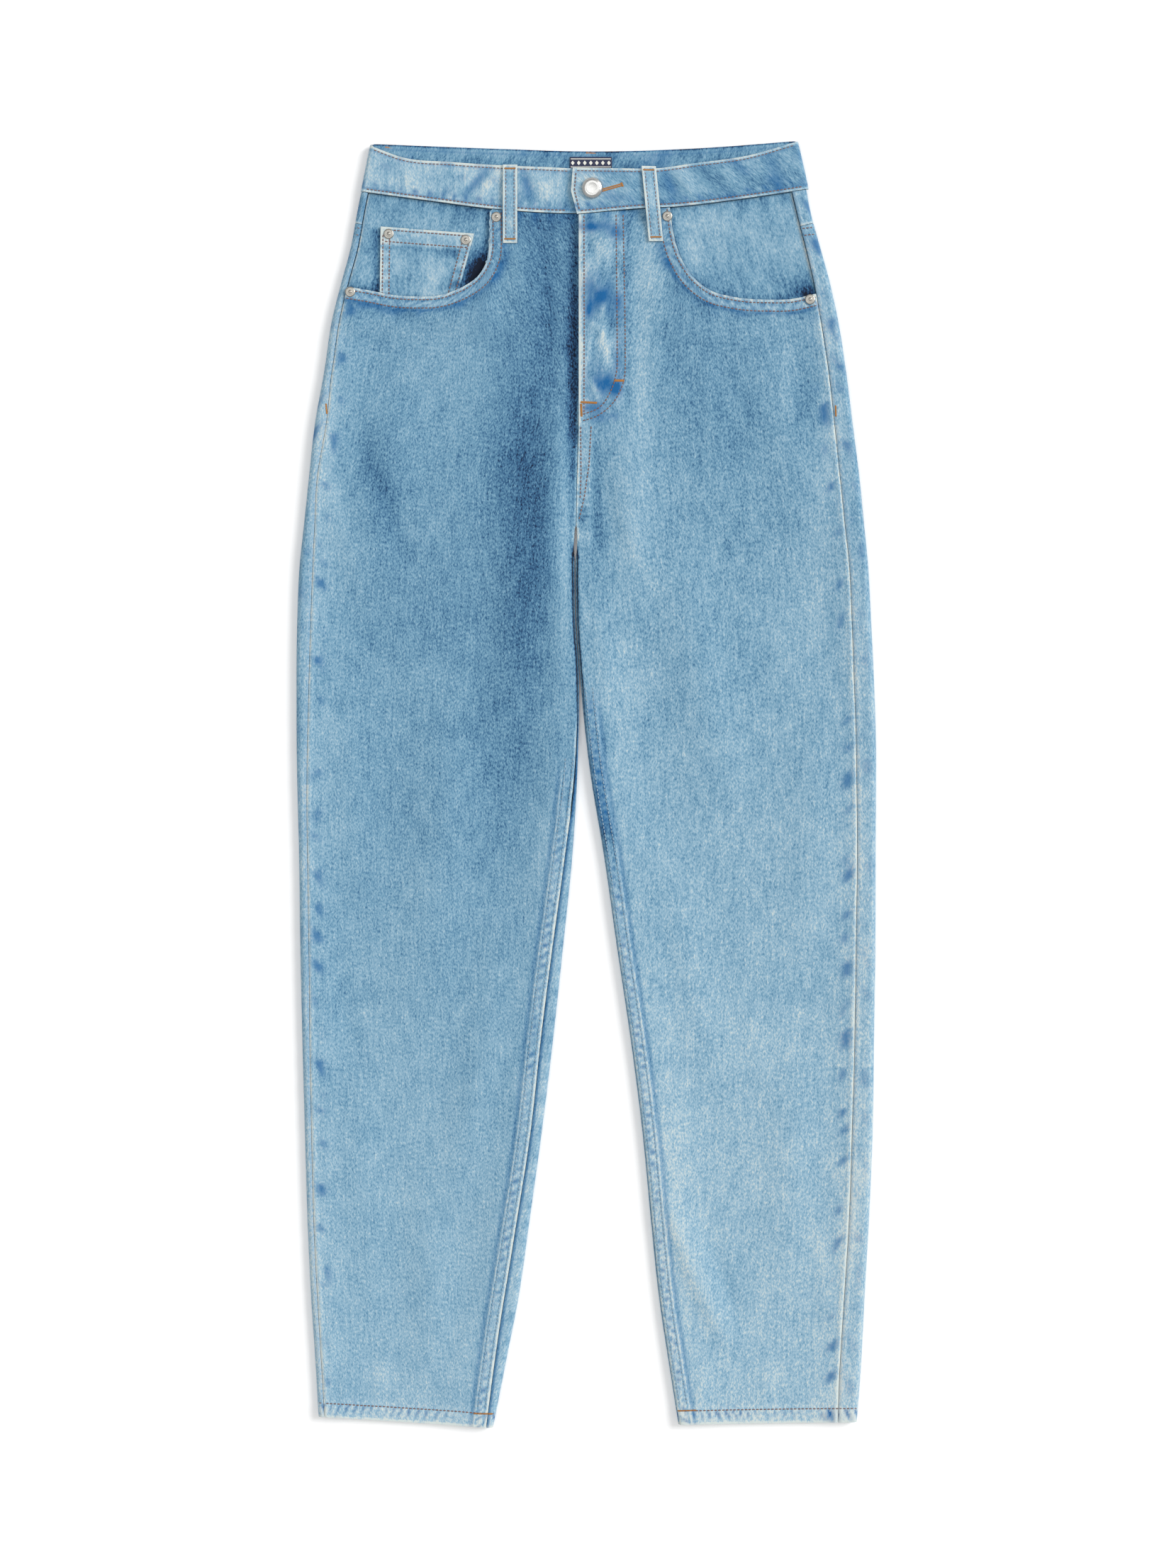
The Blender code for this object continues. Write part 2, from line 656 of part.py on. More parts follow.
def facing_points(side):
    """The pocket facing's grid of (x, y): side seam, waist seam and a margin under the front."""
    sign = SIDES[side]
    edge = route(POCKET_EDGE[side], 41)
    direction = np.gradient(edge, axis=0)
    direction /= np.hypot(*direction.T)[:, None]
    out = np.stack([direction[:, 1], -direction[:, 0]], axis=1) * sign
    margin = FACING_UNDER * ease(np.linspace(3.2, 0.0, 41))[:, None]
    edge = edge + out * margin
    corner = 22
    right = resample(edge[:corner + 1], np.linspace(0, 1, 6))
    bottom = resample(edge[corner:][::-1], np.linspace(0, 1, 8))
    bottom[0, 0] = side_seam(side, bottom[0, 1])
    right[0, 1] = float(EDGE[side]["foot"](right[0, 0])) - WAIST_GAP
    right = right[::-1]
    bottom[-1] = right[0]
    top_y_side = float(EDGE[side]["foot"](side_seam(side, 484.0))) - WAIST_GAP
    left_y = np.linspace(bottom[0, 1], top_y_side, 6)
    left = np.stack([side_seam(side, left_y), left_y], axis=1)
    xs = np.linspace(left[-1, 0], right[-1, 0], 8)
    top = np.stack([xs, EDGE[side]["foot"](xs) - WAIST_GAP], axis=1)
    return coons(bottom, top, left, right, np.linspace(0, 1, 8))


def facing_height(side, x, y):
    return front_height(side, x, y) - FACING_DROP


def make_facing(side):
    flat = facing_points(side)
    z = facing_height(side, flat[..., 0], flat[..., 1])
    sheet(f"pocket_facing_{side}", np.concatenate([flat, z[..., None]], axis=2), FACING_WALL, "denim_facing", 1)


def patch(corners, columns, rows):
    """A straight-sided patch of (x, y) between four corners, from the top left round."""
    top_left, top_right, low_right, low_left = (np.array(c, float) for c in corners)
    u = np.linspace(0, 1, columns)[None, :, None]
    v = np.linspace(0, 1, rows)[:, None, None]
    return (1 - v) * ((1 - u) * top_left + u * top_right) + v * ((1 - u) * low_left + u * low_right)


def coin_height(x, y):
    return facing_height("right", x, y) + CLEARANCE + FACING_WALL


def make_coin_pocket():
    flat = patch(COIN_POCKET, 6, 5)
    z = coin_height(flat[..., 0], flat[..., 1])
    sheet("coin_pocket", np.concatenate([flat, z[..., None]], axis=2), FACING_WALL, "denim_facing", 1)


def band_front_height(side, x):
    if side == "right":
        return BAND_FRONT + 0.0 * x
    return BAND_FRONT + BAND_LAP * (1 - ease((x - LAP_START) / (LAP_END - LAP_START)))


def band_points(front_steps, back_steps, fold_steps, depth_steps):
    """The waistband's outer face, from the end under the lap round the back to the lapped end."""
    v = np.linspace(0, 1, depth_steps + 1)
    half_width = (BAND_FRONT - BAND_BACK) / 2
    middle = (BAND_FRONT + BAND_BACK) / 2
    left_edge = np.interp(v, (0, 1), BAND_LEFT_EDGE)
    right_edge = np.interp(v, (0, 1), BAND_RIGHT_EDGE)
    end = np.interp(v, (0, 0.5, 1), BAND_END)
    stations = []

    def add(x, up, z):
        y = np.zeros(len(v))
        for part, share in (("back", 1 - up), ("right", up * (x < 0)), ("left", up * (x >= 0))):
            y = y + share * ((1 - v) * EDGE[part]["top"](x) + v * EDGE[part]["foot"](x))
        stations.append(np.stack([x, y, z + 0.0 * v], axis=1))

    def add_front(side, x):
        y = (1 - v) * EDGE[side]["top"](x) + v * EDGE[side]["foot"](x)
        stations.append(np.stack([x, y, band_front_height(side, x)], axis=1))

    for t in np.linspace(0, 1, front_steps + 1)[:-1]:
        add_front("right", (1 - t) * BAND_UNDER_END + t * (left_edge + half_width))
    for angle in np.linspace(np.pi / 2, -np.pi / 2, fold_steps + 1):
        add(left_edge + half_width * (1 - np.cos(angle)), (1 + np.sin(angle)) / 2, middle + half_width * np.sin(angle))
    for t in np.linspace(0, 1, back_steps + 1)[1:-1]:
        add((1 - t) * (left_edge + half_width) + t * (right_edge - half_width), 0.0, BAND_BACK)
    for angle in np.linspace(-np.pi / 2, np.pi / 2, fold_steps + 1):
        add(right_edge - half_width * (1 - np.cos(angle)), (1 + np.sin(angle)) / 2, middle + half_width * np.sin(angle))
    for t in np.linspace(0, 1, front_steps + 1)[1:]:
        add_front("left", (1 - t) * (right_edge - half_width) + t * end)
    return np.stack(stations, axis=1)


def make_band():
    sheet("waistband", band_points(14, 14, 6, 2), BAND_WALL, "denim_band", -1)


def face_under_loop(side, x, y):
    """The band's face above the waist seam, easing down onto the front below it."""
    foot = EDGE[side]["foot"](x)
    share = ease((y - foot + 16.0) / 12.0)
    return share * band_front_height(side, x) + (1 - share) * front_height(side, x, y)


def make_front_loop(side):
    (top_x, top_y), (foot_x, foot_y) = FRONT_LOOPS[side]
    half = LOOP_WIDTH / 2
    flat = patch((
        (top_x - half, top_y), (top_x + half, top_y), (foot_x + half, foot_y), (foot_x - half, foot_y),
    ), 3, 9)
    arch = LOOP_ARCH * np.sin(np.linspace(0, np.pi, 9))[:, None]
    z = face_under_loop(side, flat[..., 0], flat[..., 1]) + LOOP_SEAT + LOOP_WALL + arch
    sheet(f"belt_loop_front_{side}", np.concatenate([flat, z[..., None]], axis=2), LOOP_WALL, "denim_band", 1)


def flat_piece(name, flat, z, wall, paint_name, faces):
    """A piece that lies level: flat is its grid of (x, y) and z its outer face."""
    level = np.full(flat.shape[:2] + (1,), float(z))
    sheet(name, np.concatenate([flat, level], axis=2), wall, paint_name, faces)


def make_back_loop(name, x):
    half = LOOP_WIDTH / 2
    top = float(EDGE["back"]["top"](x)) - 0.5
    corners = ((x - half, top), (x + half, top), (x + half, BACK_LOOP_FOOT), (x - half, BACK_LOOP_FOOT))
    flat_piece(f"belt_loop_{name}", patch(corners, 2, 4), 0.0, LOOP_WALL, "denim_band", -1)


def make_back_pocket(side):
    """A five-cornered patch on the seat, which the panel lies on."""
    centre = SIDES[side] * BACK_POCKET_CENTRE
    u = np.linspace(-1, 1, 7)[None, :]
    v = np.linspace(0, 1, 6)[:, None]
    half = BACK_POCKET_HALF[0] + v * (BACK_POCKET_HALF[1] - BACK_POCKET_HALF[0])
    low = BACK_POCKET_FOOT - BACK_POCKET_POINT * (1 - np.abs(u))
    flat = np.stack([centre + u * half, BACK_POCKET_TOP + v * (low - BACK_POCKET_TOP)], axis=2)
    flat_piece(f"back_pocket_{side}", flat, 0.0, FACING_WALL, "denim", -1)


def turned(name, profile, centre, z, paint_name, steps):
    """A round piece: its profile turned about an upright axis at the given centre."""
    mesh = bpy.data.meshes.new(name)
    line = bmesh.new()
    points = [line.verts.new((radius * MM, 0.0, height * MM)) for radius, height in profile]
    for first, second in zip(points, points[1:]):
        line.edges.new((first, second))
    line.to_mesh(mesh)
    line.free()
    thing = add_object(name, mesh, paint_name)
    thing.location = (centre[0] * MM, centre[1] * MM, z * MM)
    screw = thing.modifiers.new("turn", "SCREW")
    screw.steps = steps
    screw.render_steps = steps
    screw.use_merge_vertices = True
    screw.merge_threshold = 0.00005
    screw.use_smooth_shade = True
    return thing


def seat_height(height_at, centre, radius):
    """The highest point of a face under a round piece."""
    angles = np.linspace(0, 2 * np.pi, 13)
    x = centre[0] + radius * np.cos(angles)
    y = centre[1] + radius * np.sin(angles)
    return float(np.max(height_at(x, y)))


def make_rivets():
    def on_front(side):
        def height_at(x, y):
            lift = coin_lift(x, y) if side == "right" else 0.0
            return front_height(side, x, y) + lift
        return height_at

    for name, centre in RIVETS.items():
        if name.startswith("coin"):
            height_at = coin_height
        else:
            height_at = on_front("right" if "right" in name else "left")
        z = seat_height(height_at, centre, RIVET_DOME[-2][0]) + RIVET_SEAT
        turned(f"rivet_{name}", RIVET_DOME, centre, z, "rivet_metal", 12)


def make_button():
    turned("button", BUTTON_DOME, BUTTON_CENTRE, BAND_FRONT + BAND_LAP + CLEARANCE, "button_metal", 20)


def make_label():
    x0, x1, y0, y1 = LABEL
    flat = patch(((x0, y1), (x1, y1), (x1, y0), (x0, y0)), 3, 3)
    top = BAND_BACK + BAND_WALL + CLEARANCE + LABEL_WALL
    flat_piece("woven_label", flat, top, LABEL_WALL, "woven_label", 1)


def main():
    clear_scene()
    collection = bpy.data.collections.new("mom_jeans")
    bpy.context.scene.collection.children.link(collection)
    for side in SIDES:
        make_back(side)
        make_front(side)
        make_facing(side)
        make_front_loop(side)
        make_back_pocket(side)
    make_coin_pocket()
    make_band()
    for name, x in BACK_LOOPS.items():
        make_back_loop(name, x)
    make_label()
    make_rivets()
    make_button()


main()
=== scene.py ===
"""Light-wash high-waisted jeans laid flat, front up: the looks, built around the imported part.

The waist points to +Y, the front faces +Z and the floor is z = 0. The tables and the
shape functions work in millimetres; meshes are placed in metres. The right leg is the
wearer's right, at -X.
"""

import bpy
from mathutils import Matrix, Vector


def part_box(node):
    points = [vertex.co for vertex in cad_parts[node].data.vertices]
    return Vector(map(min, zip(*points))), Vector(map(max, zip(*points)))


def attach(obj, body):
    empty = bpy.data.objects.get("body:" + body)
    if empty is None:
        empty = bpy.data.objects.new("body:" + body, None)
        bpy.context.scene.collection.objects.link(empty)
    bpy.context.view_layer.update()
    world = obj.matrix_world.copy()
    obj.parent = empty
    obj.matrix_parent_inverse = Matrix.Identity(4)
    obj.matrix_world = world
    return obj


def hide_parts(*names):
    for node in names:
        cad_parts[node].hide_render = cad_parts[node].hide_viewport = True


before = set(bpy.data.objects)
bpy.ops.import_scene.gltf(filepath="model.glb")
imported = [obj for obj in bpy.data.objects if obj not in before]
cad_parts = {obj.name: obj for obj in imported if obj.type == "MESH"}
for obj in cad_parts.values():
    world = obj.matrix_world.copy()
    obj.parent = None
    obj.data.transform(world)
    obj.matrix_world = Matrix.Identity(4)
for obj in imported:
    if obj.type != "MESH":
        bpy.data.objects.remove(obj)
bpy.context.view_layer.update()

from types import SimpleNamespace

import bmesh
import bpy
import numpy as np
from mathutils import Vector
from mathutils.bvhtree import BVHTree

MM = 0.001
SIDES = {"right": -1, "left": 1}

# Cloth and seams, as the part has them, in millimetres
WALL = 1.3
HEM_WALL = 2.6
BAND_WALL = 2.6
FACING_WALL = 1.2
LOOP_WALL = 1.3
LABEL_WALL = 0.8
CLEARANCE = 0.3                 # between two pieces
YOKE_CENTRE = 415.0             # height of the yoke's lower seam at the centre back
YOKE_SIDE = 459.0               # and at the side seams
HIP = 295.0
CROTCH = 212.0
HEM_DEPTH = 12.0
HEM_STEP = 0.8                  # how much higher the doubled hem lies
FOLD = 4.0                      # half width of a leg's folded edge
CROTCH_FOLD = 2.2               # and of the inner one right under the crotch
CROTCH_RISE = 40.0              # height over which the inner edge rolls up below the crotch
FOLD_LEAD = 4.0                 # the flat stretch beside a folded edge
FLY_UNDERLAP = 6.0              # how far the right front runs on under the fly
EDGE_RUN = 24.0                 # how far in the raised edge of a leg reaches
CENTRE_FLAT = 12.0              # the level strip beside the centre front
CENTRE_RUN = 26.0               # and how far its slope reaches
FOLD_TRIM = 0.8                 # half the seam's gap where it lies on the folded edge
POCKET_END_GAP = 0.1            # what the side seam's gap gains beside a pocket
WAIST_GAP = 0.6                 # from the band's foot down to the panels
WAIST_CENTRE = 467.0            # height of the waist seam at the centre front
HEM_COLUMNS = -500.0            # where a panel's columns are read for its hem

# Each leg's section by height: outer and inner edge, and how far in the two seams lie
SECTION = ("y", "outer", "outseam_in", "inner", "inseam_in")
SECTIONS = {
    "right": (
        (500, -181.0, 6.0, -6.3, 0.5),
        (465, -188.0, 6.0, -6.3, 0.5),
        (440, -192.5, 6.0, -6.3, 0.5),
        (410, -200.5, 6.0, -6.3, 0.5),
        (380, -208.0, 6.5, -6.3, 0.5),
        (340, -214.0, 6.5, -6.3, 0.5),
        (295, -222.0, 9.5, -6.3, 0.5),
        (250, -227.0, 7.0, -7.5, 0.5),
        (212, -231.0, 9.0, -8.2, 0.5),
        (180, -234.5, 11.0, -9.6, 0.5),
        (135, -236.5, 11.3, -9.0, 0.5),
        (85, -237.2, 10.5, -5.9, 0.5),
        (15, -236.8, 8.5, -7.0, 1.5),
        (-60, -235.0, 7.0, -11.5, 6.0),
        (-135, -234.0, 7.2, -19.2, 8.5),
        (-210, -232.3, 6.2, -27.2, 10.0),
        (-285, -230.3, 5.6, -36.5, 9.0),
        (-360, -228.0, 5.2, -46.8, 10.4),
        (-420, -225.2, 5.4, -55.5, 11.5),
        (-470, -221.8, 5.0, -65.2, 9.3),
        (-527, -218.5, 5.0, -76.5, 5.5),
    ),
    "left": (
        (500, 178.0, 13.5, -6.3, 0.5),
        (465, 184.3, 11.5, -6.3, 0.5),
        (440, 191.3, 12.0, -6.3, 0.5),
        (410, 199.5, 13.2, -6.3, 0.5),
        (380, 206.0, 14.3, -6.3, 0.5),
        (340, 212.3, 14.4, -6.3, 0.5),
        (295, 218.0, 15.1, -6.3, 0.5),
        (250, 223.6, 16.0, -7.5, 0.5),
        (212, 227.4, 15.9, -8.2, 0.5),
        (180, 230.6, 15.6, -8.8, 0.5),
        (135, 233.0, 15.8, -8.2, 0.5),
        (85, 235.5, 16.5, -4.8, 0.5),
        (15, 237.2, 16.2, 2.5, 0.5),
        (-60, 236.8, 15.2, 14.7, 0.5),
        (-135, 236.6, 16.0, 25.4, 0.5),
        (-210, 235.5, 16.0, 36.5, 0.5),
        (-285, 234.4, 17.0, 46.0, 0.5),
        (-360, 231.2, 16.4, 53.2, 0.5),
        (-420, 227.8, 16.8, 59.5, 0.5),
        (-470, 225.3, 17.5, 67.0, 0.5),
        (-527, 221.0, 15.5, 76.0, 0.5),
    ),
}
# Height of each leg's lower edge, at its outer and its inner side
HEM_LINE = {"right": (-517.0, -526.0), "left": (-521.5, -523.5)}
HEM_MEAN = -522.0

# How high the front lies by height: at its edges, its middle and the centre front
HEIGHT = ("y", "edge", "middle", "right", "left", "under")
HEIGHTS = (
    (500, 7.6, 7.4, 7.0, 10.2, 1.6),
    (465, 7.8, 7.4, 6.8, 10.2, 1.6),
    (440, 8.2, 7.0, 5.6, 9.0, 1.6),
    (410, 8.6, 6.8, 5.0, 8.0, 1.6),
    (380, 8.8, 6.4, 4.9, 7.6, 1.6),
    (340, 9.0, 5.8, 4.9, 7.4, 1.6),
    (295, 9.0, 5.4, 4.9, 7.0, 1.6),
    (270, 9.0, 5.3, 5.8, 6.0, 1.6),
    (245, 8.8, 5.2, 5.6, 5.6, 1.6),
    (212, 8.6, 4.8, 5.2, 5.2, 0.8),
    (180, 8.4, 4.4, 6.4, 6.4, 0.0),
    (135, 8.2, 4.0, 7.4, 7.4, 0.0),
    (15, 8.0, 3.8, 7.4, 7.4, 0.0),
    (-210, 7.6, 3.7, 7.2, 7.2, 0.0),
    (-420, 7.2, 3.8, 7.0, 7.0, 0.0),
    (-490, 7.2, 4.8, 7.0, 7.0, 0.0),
    (-527, 7.2, 5.4, 7.0, 7.0, 0.0),
)

# The largest folds: x0, y0, x1, y1 of the two ends, height, half width
FOLDS = {
    "right": (
        (-26, 300, -30, 170, 2.4, 14),
        (-48, 250, -60, 60, 2.6, 20),
        (-150, 330, -185, 180, 2.2, 26),
        (-200, 110, -190, -80, 1.8, 20),
        (-110, 60, -130, -160, 2.4, 24),
        (-70, -120, -105, -330, 2.2, 18),
        (-190, -240, -180, -430, 1.8, 20),
        (-130, -330, -125, -480, 1.8, 18),
    ),
    "left": (
        (30, 300, 40, 140, 2.6, 18),
        (150, 340, 190, 200, 2.0, 26),
        (70, 190, 110, 0, 2.4, 24),
        (190, 60, 180, -130, 2.0, 22),
        (60, -60, 100, -230, 2.0, 20),
        (70, -345, 112, -450, 2.6, 12),
        (170, -230, 165, -400, 2.0, 20),
    ),
}

# Blue blotches left in the fly: x, y, half width, half height, strength
FLY_INDIGO = (
    (9, 401, 11, 14, 1.05),
    (20, 392, 7, 13, 0.9),
    (13, 331, 10, 13, 1.0),
    (24, 326, 5, 9, 0.8),
    (4, 456, 13, 4, 0.8),
    (24, 451, 6, 6, 0.7),
    (2, 383, 3, 9, 0.5),
    (28, 385, 3, 26, 0.5),
    (26, 345, 3, 12, 0.6),
    (6, 308, 10, 4, 0.6),
    (14, 300, 12, 4, 0.5),
)

# Pale places of the fly, as its blotches
FLY_PALE = (
    (9, 430, 12, 14, 0.14),
    (11, 364, 10, 18, 0.14),
)

# The finer creases, as the folds; a negative height is a trough
CREASES = {
    "right": (
        (-34, 455, -28, 330, -0.9, 9),
        (-12, 420, -11, 250, -0.9, 5),
        (-47, 318, -48, 84, -0.5, 17),
        (-20, 300, -21, 90, 0.6, 8),
        (-185, 288, -148, 184, -0.8, 10),
        (-170, 392, -120, 372, -0.4, 7),
        (-60, 452, -52, 400, 0.5, 6),
        (-120, 240, -70, 205, 0.35, 9),
        (-215, 250, -180, 150, 0.5, 9),
        (-160, -20, -120, -60, -0.35, 12),
        (-60, -200, -95, -250, 0.45, 8),
        (-205, -150, -190, -230, -0.35, 9),
        (-95, -430, -110, -500, 0.4, 7),
        (-165, -470, -172, -508, 0.5, 6),
        (-200, -455, -205, -505, -0.4, 5),
    ),
    "left": (
        (38, 450, 44, 350, -0.7, 8),
        (52, 385, 80, 330, -0.35, 8),
        (98, 350, 108, 250, 0.4, 10),
        (12, 250, 30, 190, -0.6, 7),
        (22, 228, 62, 160, 0.5, 8),
        (8, 150, 20, 60, 0.4, 6),
        (150, 120, 120, 60, -0.35, 12),
        (60, -95, 75, -180, -0.45, 9),
        (130, -180, 150, -260, 0.35, 9),
        (64, -338, 86, -400, 0.8, 5),
        (84, -396, 112, -452, 0.9, 6),
        (100, -372, 124, -440, -0.6, 7),
        (190, -360, 198, -440, 0.4, 7),
        (96, -480, 92, -512, 0.5, 5),
        (150, -470, 146, -508, 0.4, 6),
    ),
}

# Crinkles of the fly, as the folds
FLY_CRINKLES = (
    (7.5, 412, 16, 379, 0.9, 2.0),
    (16, 379, 14.5, 366, 0.9, 2.0),
    (3, 377, 11, 373, 0.9, 1.9),
    (11, 373, 17, 357, 0.9, 2.0),
    (17, 357, 15, 333, 0.8, 2.0),
    (4, 330, 10.5, 316, 0.8, 2.0),
    (10, 402, 5, 388, -0.5, 2.6),
    (9, 366, 5, 345, -0.6, 3.2),
    (20, 392, 22, 362, -0.5, 3.4),
    (12, 430, 20, 447, 0.6, 2.6),
    (2, 448, 6, 428, -0.4, 3.0),
    (26, 425, 27, 400, 0.4, 2.2),
    (22, 345, 25, 326, 0.5, 2.4),
)

# Wash of each leg from the waist down: height and how far it is bleached, 0 to 1
WASH = {
    "right": ((470, 0.42), (380, 0.50), (250, 0.48), (80, 0.50), (-150, 0.56), (-330, 0.62), (-527, 0.66)),
    "left": ((470, 0.50), (380, 0.55), (250, 0.52), (80, 0.58), (-150, 0.66), (-330, 0.70), (-527, 0.74)),
}
# Broad soft patches of lighter and darker cloth: partly the cloth's own wash, partly painted shade in the
# soft valleys of the thighs, beside the fly and in the crotch's crevice, and painted highlight on the
# ridges between them: x, y, half width, half height, change
WASH_AND_SHADING_PATCHES = {
    "right": (
        (-120, 300, 60, 130, 0.05),
        (-47, 225, 32, 170, -0.17),
        (-62, 262, 30, 80, -0.07),
        (-18, 190, 7, 110, 0.14),
        (-110, 190, 36, 80, -0.05),
        (-34, 410, 20, 70, -0.10),
        (-10, 350, 6, 115, -0.32),
        (-165, 235, 16, 60, -0.08),
        (-212, 260, 14, 120, 0.10),
        (-205, 40, 18, 120, 0.05),
        (-70, 10, 26, 90, -0.07),
        (-30, -60, 14, 120, 0.08),
    ),
    "left": (
        (100, 318, 44, 60, -0.13),
        (183, 318, 10, 52, -0.18),
        (163, 300, 7, 60, 0.07),
        (46, 345, 7, 70, 0.16),
        (74, 390, 14, 46, -0.08),
        (50, 425, 16, 36, 0.17),
        (80, 262, 26, 110, 0.05),
        (34, 233, 20, 50, 0.10),
        (9, 235, 5, 60, -0.10),
        (-3, 219, 5, 9, -0.34),
        (10, 210, 8, 16, -0.13),
        (190, 260, 14, 120, 0.12),
        (170, 100, 30, 140, 0.05),
        (32, 90, 12, 90, 0.08),
        (70, -300, 14, 110, 0.07),
        (120, -420, 16, 60, -0.06),
    ),
}

# The edge of each pocket's opening, from the waist to the side seam
POCKET_EDGE = {
    "right": (
        (-79.0, 470.5), (-78.7, 448), (-80, 431), (-88, 416), (-104.5, 405),
        (-129, 398.8), (-154, 399.5), (-178, 403.8), (-195, 406.5),
    ),
    "left": (
        (68.5, 472.5), (71, 452), (76, 434), (87.5, 415), (101.5, 404),
        (120, 398.8), (144, 396.6), (167, 396.8), (187.5, 401),
    ),
}
POCKET_HEM = 11.2               # depth of the hem round a pocket
POCKET_STITCHES = (2.6, 9.4)    # its two rows of stitches, from the edge
FACING_UNDER = 10.0             # how far the pocket's lining runs on under its edge
FACING_DROP = 2.0
FACING_POINTS, FACING_CORNER = 41, 22
FACING_SHADE = {"right": ((-86, 418, 12, 17, -0.75),), "left": ((179, 405, 16, 9, -0.32),)}
# The coin pocket's corners from its top left round, its corner of painted shade, and how it lifts the cloth
COIN_POCKET = ((-168.2, 456.3), (-91.6, 450.5), (-106.5, 396.0), (-169.0, 396.0))
COIN_SHADE = ((-102, 408, 9, 12, -0.40),)
COIN_HEM = 13.5
COIN_BORDER = 8.0
COIN_LIFT = 1.8
COIN_LIFT_CENTRE = (-138.0, 400.0)
COIN_LIFT_HALF = (48.0, 16.0)
COIN_LIFT_RAMP = 24.0

# The waistband's edges, and the slant of its two folded sides
BAND_TOP = {
    "right": ((-176, 522), (-151, 512.8), (-110, 508.8), (-68, 506), (-30, 504.5), (16, 502)),
    "left": ((-11, 503.8), (47, 503), (90, 508), (134, 514.5), (172, 525.5)),
    "back": ((-172, 524), (-68, 520), (5, 518), (90, 520.5), (172, 526.5)),
}
BAND_FOOT = {
    "right": ((-184, 485), (-132, 478), (-68, 470), (-8, 467), (16, 468.5)),
    "left": ((-8, 466), (46, 471), (75, 472.8), (122, 478.3), (181, 487)),
    "back": ((-184, 485), (-90, 481), (0, 480), (90, 482), (181, 487)),
}
BAND_LEFT_EDGE = (-177.0, -184.5)
BAND_RIGHT_EDGE = (173.5, 182.0)
BAND_END = (-11.0, -12.5, -7.5)
BAND_UNDER_END = 16.0
BAND_FRONT = 8.2
BAND_BACK = 1.6
BAND_LAP = 3.0
BAND_WIDTH = 37.0
BAND_HALF_LENGTH = 185.0
LAP_START, LAP_END = 36.0, 72.0

LOOP_WIDTH = 12.0
LOOP_ROW = 3.4                  # its rows of stitches, from its middle
LOOP_TACK = 4.4
LOOP_COLUMNS = np.array((0, 0.03, 0.08, 0.16, 0.25, 0.35, 0.5, 0.65, 0.75, 0.84, 0.92, 0.97, 1))
LOOP_ARCH = 0.8
LOOP_SEAT = 0.4
FRONT_LOOPS = {
    "right": ((-62.3, 506.5), (-62.3, 442.5)),
    "left": ((51.0, 505.0), (57.0, 444.0)),
}
BACK_LOOPS = {"back_right": -150.0, "centre_back": 3.0, "back_left": 150.0}
BACK_LOOP_FOOT = 459.0

BACK_POCKET_CENTRE = 106.0
BACK_POCKET_TOP = 402.0
BACK_POCKET_FOOT = 262.0
BACK_POCKET_POINT = 16.0
BACK_POCKET_HALF = (70.0, 60.0)
BACK_SEAM_ROWS = (2.4, 8.0)
YOKE_END = 206.0
YOKE_HALF = 217.0

LABEL = (-13.5, 21.0, 486.0, 513.5)
DIAMONDS = 7
DIAMOND_ROW = 5.0               # below the label's top
DIAMOND_HALF = (1.5, 1.9)
LABEL_LINE = 3.3                # the two lines beside the row of diamonds
LABEL_LINE_HALF = 0.3
LABEL_MARGIN = 0.8
LABEL_RAISED = 0.16             # how far the diamonds stand out

# The fly's curved seam, outer and inner row
FLY_CURVE = ((30.2, 466), (31.9, 349), (30.2, 328.1), (20.3, 310.1), (8.1, 300.9), (-5.0, 296.8))
FLY_CURVE_INNER = ((24.4, 466), (25.4, 345), (20.8, 323.5), (11.0, 308.4), (-4.6, 302.0))

# How close the grid lines lie beside an edge, then the even spacing between edges
EDGE_STEPS = np.array((0, 0.35, 0.9, 1.7, 2.3, 2.8, 3.5, 4.8, 6.4, 7.8, 8.8, 9.7, 10.5, 11.5, 13.2, 16.0))
FRONT_STEPS = 50
BACK_TURN_STEPS, BACK_FLAT_STEPS = 16, 46
BAND_FRONT_STEPS, BAND_LAP_STEPS, BAND_BACK_STEPS, BAND_FOLD_STEPS = 84, 74, 90, 12
LOOP_STEPS = 44
ROW_STEP = 3.3
LINE_POINTS = 60                # points of a seam's line or a pocket's edge

# Where each inseam starts to roll onto the front, and how wide its felled band is
FELL_START = {"right": 26.0, "left": 84.0}
FELL_RUN = 34.0
FELL_END = -512.0
FELL_WIDTH = 10.6
FELL_ROWS = (2.8, 8.8)

# Rows of the hem, by height above its lower edge
HEM_ROWS = (13.6, 12.9, 12.2, 11.4, 10.0, 8.2, 6.4, 4.6, 3.0, 1.7, 0.8, 0.3, 0.0)

# Threads: colour in sRGB
THREADS = {
    "thread_brown": (0.46, 0.36, 0.35),
    "thread_orange": (0.65, 0.45, 0.23),
    "thread_pale": (0.52, 0.62, 0.69),
}
STITCH_PITCH = 3.1
STITCH_LENGTH = 2.65
STITCH_WIDTH = 1.0

# How long one pucker is along each seam
PUCKERS = {
    "side": 23.0,
    "pocket": 8.0,
    "waist": 12.0,
    "fell": 7.0,
    "rope": 8.0,
    "twist": 6.6,
    "above_hem": 9.0,
    "yoke": 11.0,
    "facing": 14.0,
}

# Soft lines beside an edge: distance from it, half width and change
SIDE_RELIEF = ((0.0, 0.8, -0.45), (2.2, 1.4, 0.28))
POCKET_RELIEF = tuple((row, 0.9, -0.18) for row in POCKET_STITCHES)
FELL_RELIEF = tuple((row, 0.8, -0.14) for row in FELL_ROWS)
SIDE_WASH = ((2.0, 2.2, 0.08), (0.0, 16.0, 0.06))
FELL_WASH = ((10.5, 0.8, 0.16), (9.0, 0.7, -0.26), (2.8, 0.6, -0.26), (12.6, 1.6, -0.14))
BAND_FOOT_RELIEF = ((2.3, 0.9, -0.16),)
BAND_TOP_RELIEF = ((2.6, 0.9, -0.16),)


